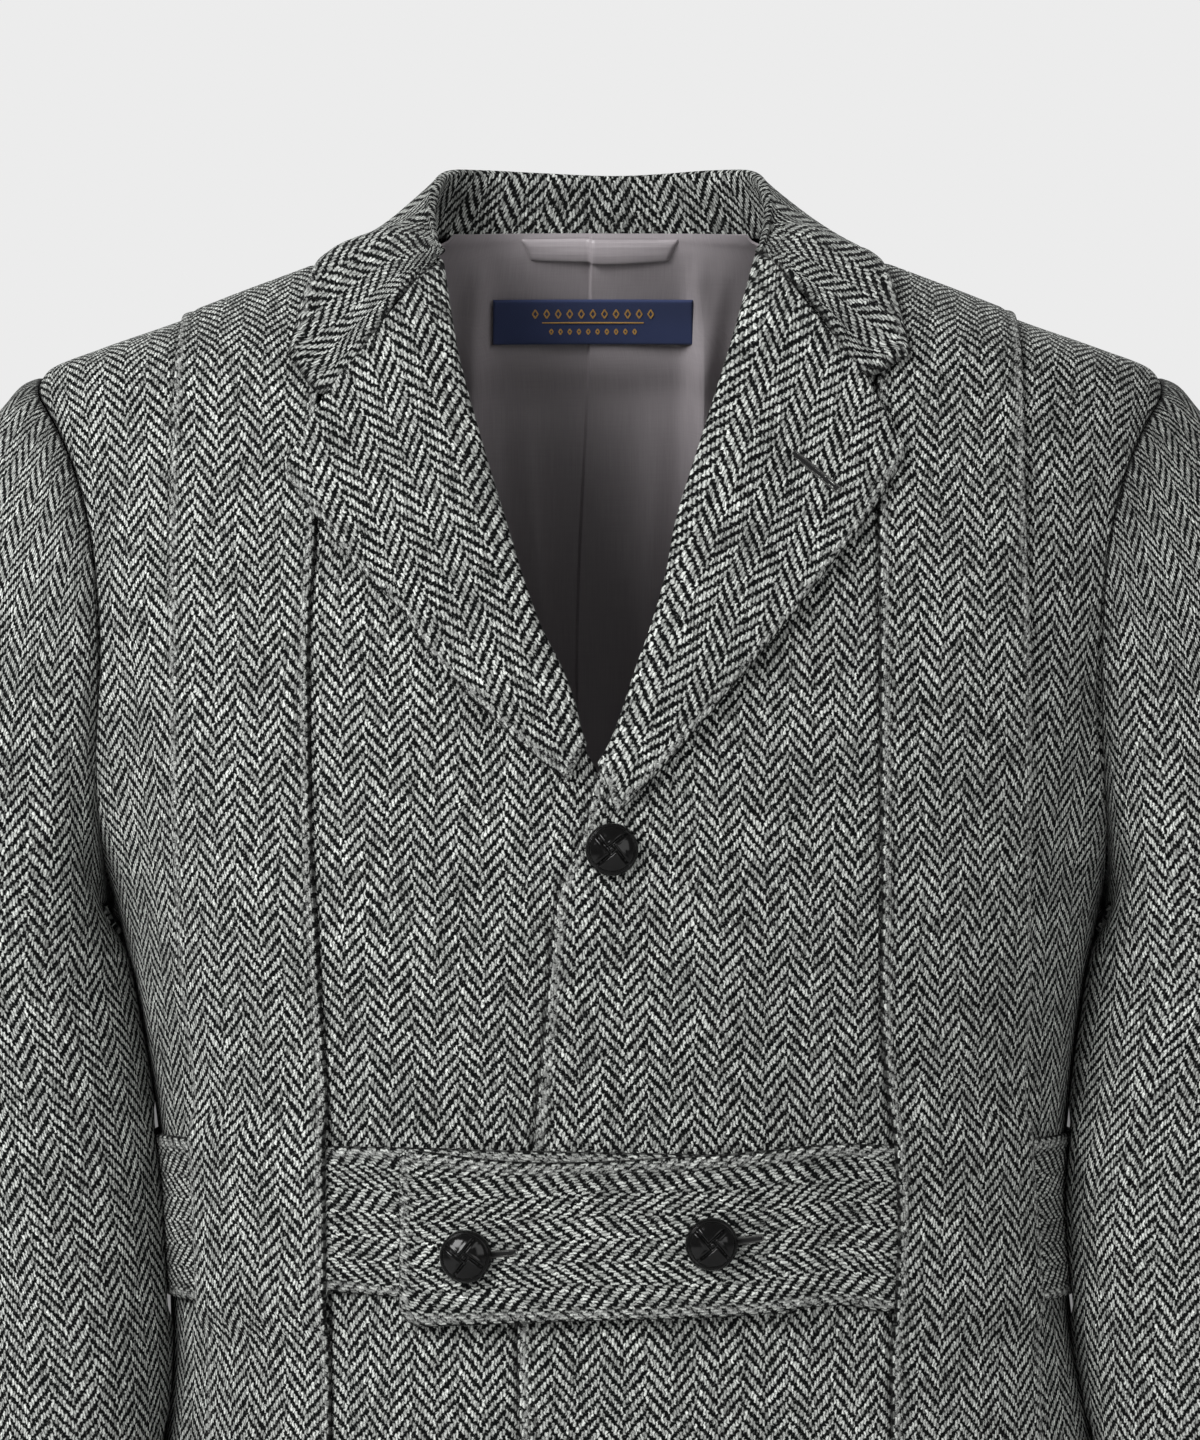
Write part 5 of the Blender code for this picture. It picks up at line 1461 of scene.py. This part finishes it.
def build_button(name, x, z, base, turn, leather):
    """A dome plaited from leather strips: four pads that meet in a pinwheel, with a groove round them."""
    rings, sides = 56, 112
    around = np.linspace(0, 2 * math.pi, sides, endpoint=False)
    r, t = np.meshgrid(np.sin(np.linspace(0.01, math.pi / 2, rings)), around, indexing="ij")
    u, v = r * np.cos(t), r * np.sin(t)
    groove, pads = np.zeros_like(r), np.zeros_like(r)
    for quarter in range(4):
        way = turn + quarter * math.pi / 2
        along = u * math.cos(way) + v * math.sin(way)
        off = v * math.cos(way) - u * math.sin(way) - PLAIT_OFFSET
        line = np.where(along > -PLAIT_OFFSET, np.abs(off), np.hypot(off, along + PLAIT_OFFSET))
        groove = np.maximum(groove, np.exp(-((line / GROOVE_WIDTH) ** 2)))
        pads = np.maximum(pads, np.exp(-(((line - PAD_PLACE) / PAD_WIDTH) ** 2)))
    inside = fade(r, 0.88, 0.80)
    ring = np.exp(-(((r - RING_PLACE) / RING_WIDTH) ** 2))
    up = BUTTON_RIM + BUTTON_DOME * np.sqrt(np.maximum(1 - r**2, 0.0)) - RING_DEPTH * ring
    up = up + inside * (PAD_RISE * pads - GROOVE_DEPTH * groove)
    spot = form_points(x, z, -1)
    normal = form_normals(spot)
    facing = np.array(Vector(normal).to_track_quat("Z", "Y").to_matrix())
    dome = np.stack([u * BUTTON_RADIUS, v * BUTTON_RADIUS, up], -1)
    foot = np.stack([dome[-1, :, 0] * 0.92, dome[-1, :, 1] * 0.92, np.zeros(sides)], -1)
    points = np.concatenate([dome, foot[None]]) @ facing.T + spot + normal * base
    add_piece(f"{name}_leather", tube_mesh(name, points), leather, "leather", name)


def tube_mesh(name, rings):
    """A closed mesh over rings of points, with a face at each end."""
    count, sides = rings.shape[:2]
    number = np.arange(count * sides).reshape(count, sides)
    following = np.roll(number, -1, axis=1)
    quads = np.stack([number[:-1], number[1:], following[1:], following[:-1]], -1).reshape(-1, 4)
    faces = [*quads.tolist(), number[0].tolist(), number[-1, ::-1].tolist()]
    mesh = bpy.data.meshes.new(name)
    mesh.from_pydata(rings.reshape(-1, 3).tolist(), [], faces)
    work = bmesh.new()
    work.from_mesh(mesh)
    bmesh.ops.recalc_face_normals(work, faces=work.faces)
    work.to_mesh(mesh)
    work.free()
    mesh.shade_smooth()
    mesh.set_sharp_from_angle(angle=math.radians(60))
    return mesh


def thread(name, path, off, radius, whip, look):
    """A thread over the form's front, along a path of x and z, that swells at each turn of its stitches."""
    path = np.array(path, float)
    lengths = np.concatenate([[0.0], np.cumsum(np.linalg.norm(np.diff(path, axis=0), axis=1))])
    run = np.linspace(0, lengths[-1], max(int(lengths[-1] / 0.00025), 8))
    centre = form_points(np.interp(run, lengths, path[:, 0]), np.interp(run, lengths, path[:, 1]), -1)
    normals = form_normals(centre)
    sides = unit(np.cross(np.gradient(centre, axis=0), normals))
    swell = (radius * (1 + 0.3 * np.cos(run / whip * 2 * math.pi)))[:, None]
    turns = np.linspace(0, 2 * math.pi, 8, endpoint=False)
    rings = [centre + normals * off + swell * (sides * math.cos(a) + normals * math.sin(a)) for a in turns]
    add_piece(name, tube_mesh(name, np.stack(rings, 1)), look, "tweed")


def buttonhole(name, start, end, off, half, pale, slit_shade):
    """A worked hole: a slit, near black as painted shade, with pale thread round it."""
    start, end = np.array(start), np.array(end)
    way = unit(end - start)
    side = np.array([-way[1], way[0]]) * half
    turns = np.linspace(math.pi / 2, -math.pi / 2, 9)
    round_end = [end + side * math.sin(a) + way * half * math.cos(a) for a in turns]
    path = [start + side, *round_end, start - side]
    thread(f"{name}_thread", path, off - HOLE_SINK, HOLE_THREAD, HOLE_WHIP, pale)
    # The slit is a near black strip of painted shade, standing for the shadow inside the cut
    thread(f"{name}_slit", [start, end], off - HOLE_SINK, half * 0.62, 0.05, slit_shade)


def build_buttons(leather, pale, slit_shade):
    build_button("button_front", *FRONT_BUTTON, OVERLAP_LIFT + LAY_GAP, math.radians(38), leather)
    on_belt = BELT_GAP + OVERLAP_LIFT + 2 * BELT_CLOTH + 3 * LAY_GAP
    for turn, (name, (x, z)) in zip((52, 40), BELT_BUTTONS.items()):
        build_button(name, x, z, on_belt, math.radians(turn), leather)
    belt_face = on_belt - 2 * LAY_GAP
    for name, ends in BELT_HOLES.items():
        buttonhole(name, *ends, belt_face, BELT_HOLE_HALF, pale, slit_shade)
    lapel_face = LAPEL_LIFT + LAPEL_CLOTH + 0.0011
    buttonhole("lapel_hole", *LAPEL_HOLE, lapel_face, LAPEL_HOLE_HALF, pale, slit_shade)


# Stage


def build_stage():
    bpy.context.scene.view_settings.view_transform = "Standard"
    floor_mesh = bpy.data.meshes.new("floor")
    half, level = 30.0, HEM - 0.06
    corners = [(x * half, y * half, level) for x, y in ((-1, -1), (1, -1), (1, 1), (-1, 1))]
    floor_mesh.from_pydata(corners, [], [(0, 1, 2, 3)])
    floor = bpy.data.objects.new("floor", floor_mesh)
    bpy.context.scene.collection.objects.link(floor)
    look, _, shader = new_material("pale_floor", Roughness=0.8)
    shader.inputs["Base Color"].default_value = (0.80, 0.80, 0.80, 1.0)
    floor_mesh.materials.append(look)

    world = bpy.data.worlds.new("studio")
    world.use_nodes = True
    bpy.context.scene.world = world
    g = Graph(world.node_tree)
    background = world.node_tree.nodes["Background"]
    shown = g.node("ShaderNodeLightPath").outputs["Is Camera Ray"]
    g.feed(background.inputs["Color"], g.blend(shown, (0.24, 0.24, 0.24, 1.0), (0.8388, 0.8388, 0.8388, 1.0)))

    for name, place, target, size, power in (
        ("key", (-1.30, -1.5, 0.95), (0.0, 0.0, -0.15), 1.0, 52.0),
        ("fill", (1.7, -2.3, 0.6), (0.0, 0.0, -0.25), 1.6, 19.0),
        ("back", (0.3, 2.2, 1.4), (0.0, 0.0, -0.2), 1.6, 48.0),
    ):
        light = bpy.data.lights.new(name, "AREA")
        light.size = size
        light.energy = power
        lamp = bpy.data.objects.new(name, light)
        lamp.location = place
        lamp.rotation_euler = (Vector(target) - Vector(place)).to_track_quat("-Z", "Y").to_euler()
        bpy.context.scene.collection.objects.link(lamp)


def build_camera():
    data = bpy.data.cameras.new("camera")
    data.sensor_fit = "AUTO"
    data.sensor_width = SENSOR
    data.lens = SENSOR * CAMERA_DISTANCE / (PHOTO_ROWS * PIXEL)
    camera = bpy.data.objects.new("camera", data)
    camera.location = (0.0, -CAMERA_DISTANCE, CAMERA_HEIGHT)
    camera.rotation_euler = (math.pi / 2, 0.0, 0.0)
    bpy.context.scene.collection.objects.link(camera)
    bpy.context.scene.camera = camera


def build_jacket():
    tweed = tweed_material()
    pale = woven_material("buttonhole_thread", (0.10, 0.10, 0.095), 900.0, 0.9)
    # Near black for the buttonholes' slits, painted shade
    slit_shade = woven_material("buttonhole_slit_shade", (0.004, 0.004, 0.004), 900.0, 0.9)
    satin = satin_material()
    navy = woven_material("label_navy", (0.034, 0.050, 0.135), 1500.0)
    gold = woven_material("label_gold", (0.60, 0.34, 0.08), 900.0, 0.55)
    leather = leather_material()
    panels = panel_grids()
    build_panels(panels, tweed)
    build_straps(panels, tweed)
    build_belt(tweed)
    build_lapels(tweed)
    build_collar(tweed)
    build_sleeves(tweed)
    build_pockets(panels, tweed)
    build_lining(satin)
    build_label(navy, gold)
    build_loop(satin)
    build_buttons(leather, pale, slit_shade)


build_camera()
build_stage()
build_jacket()
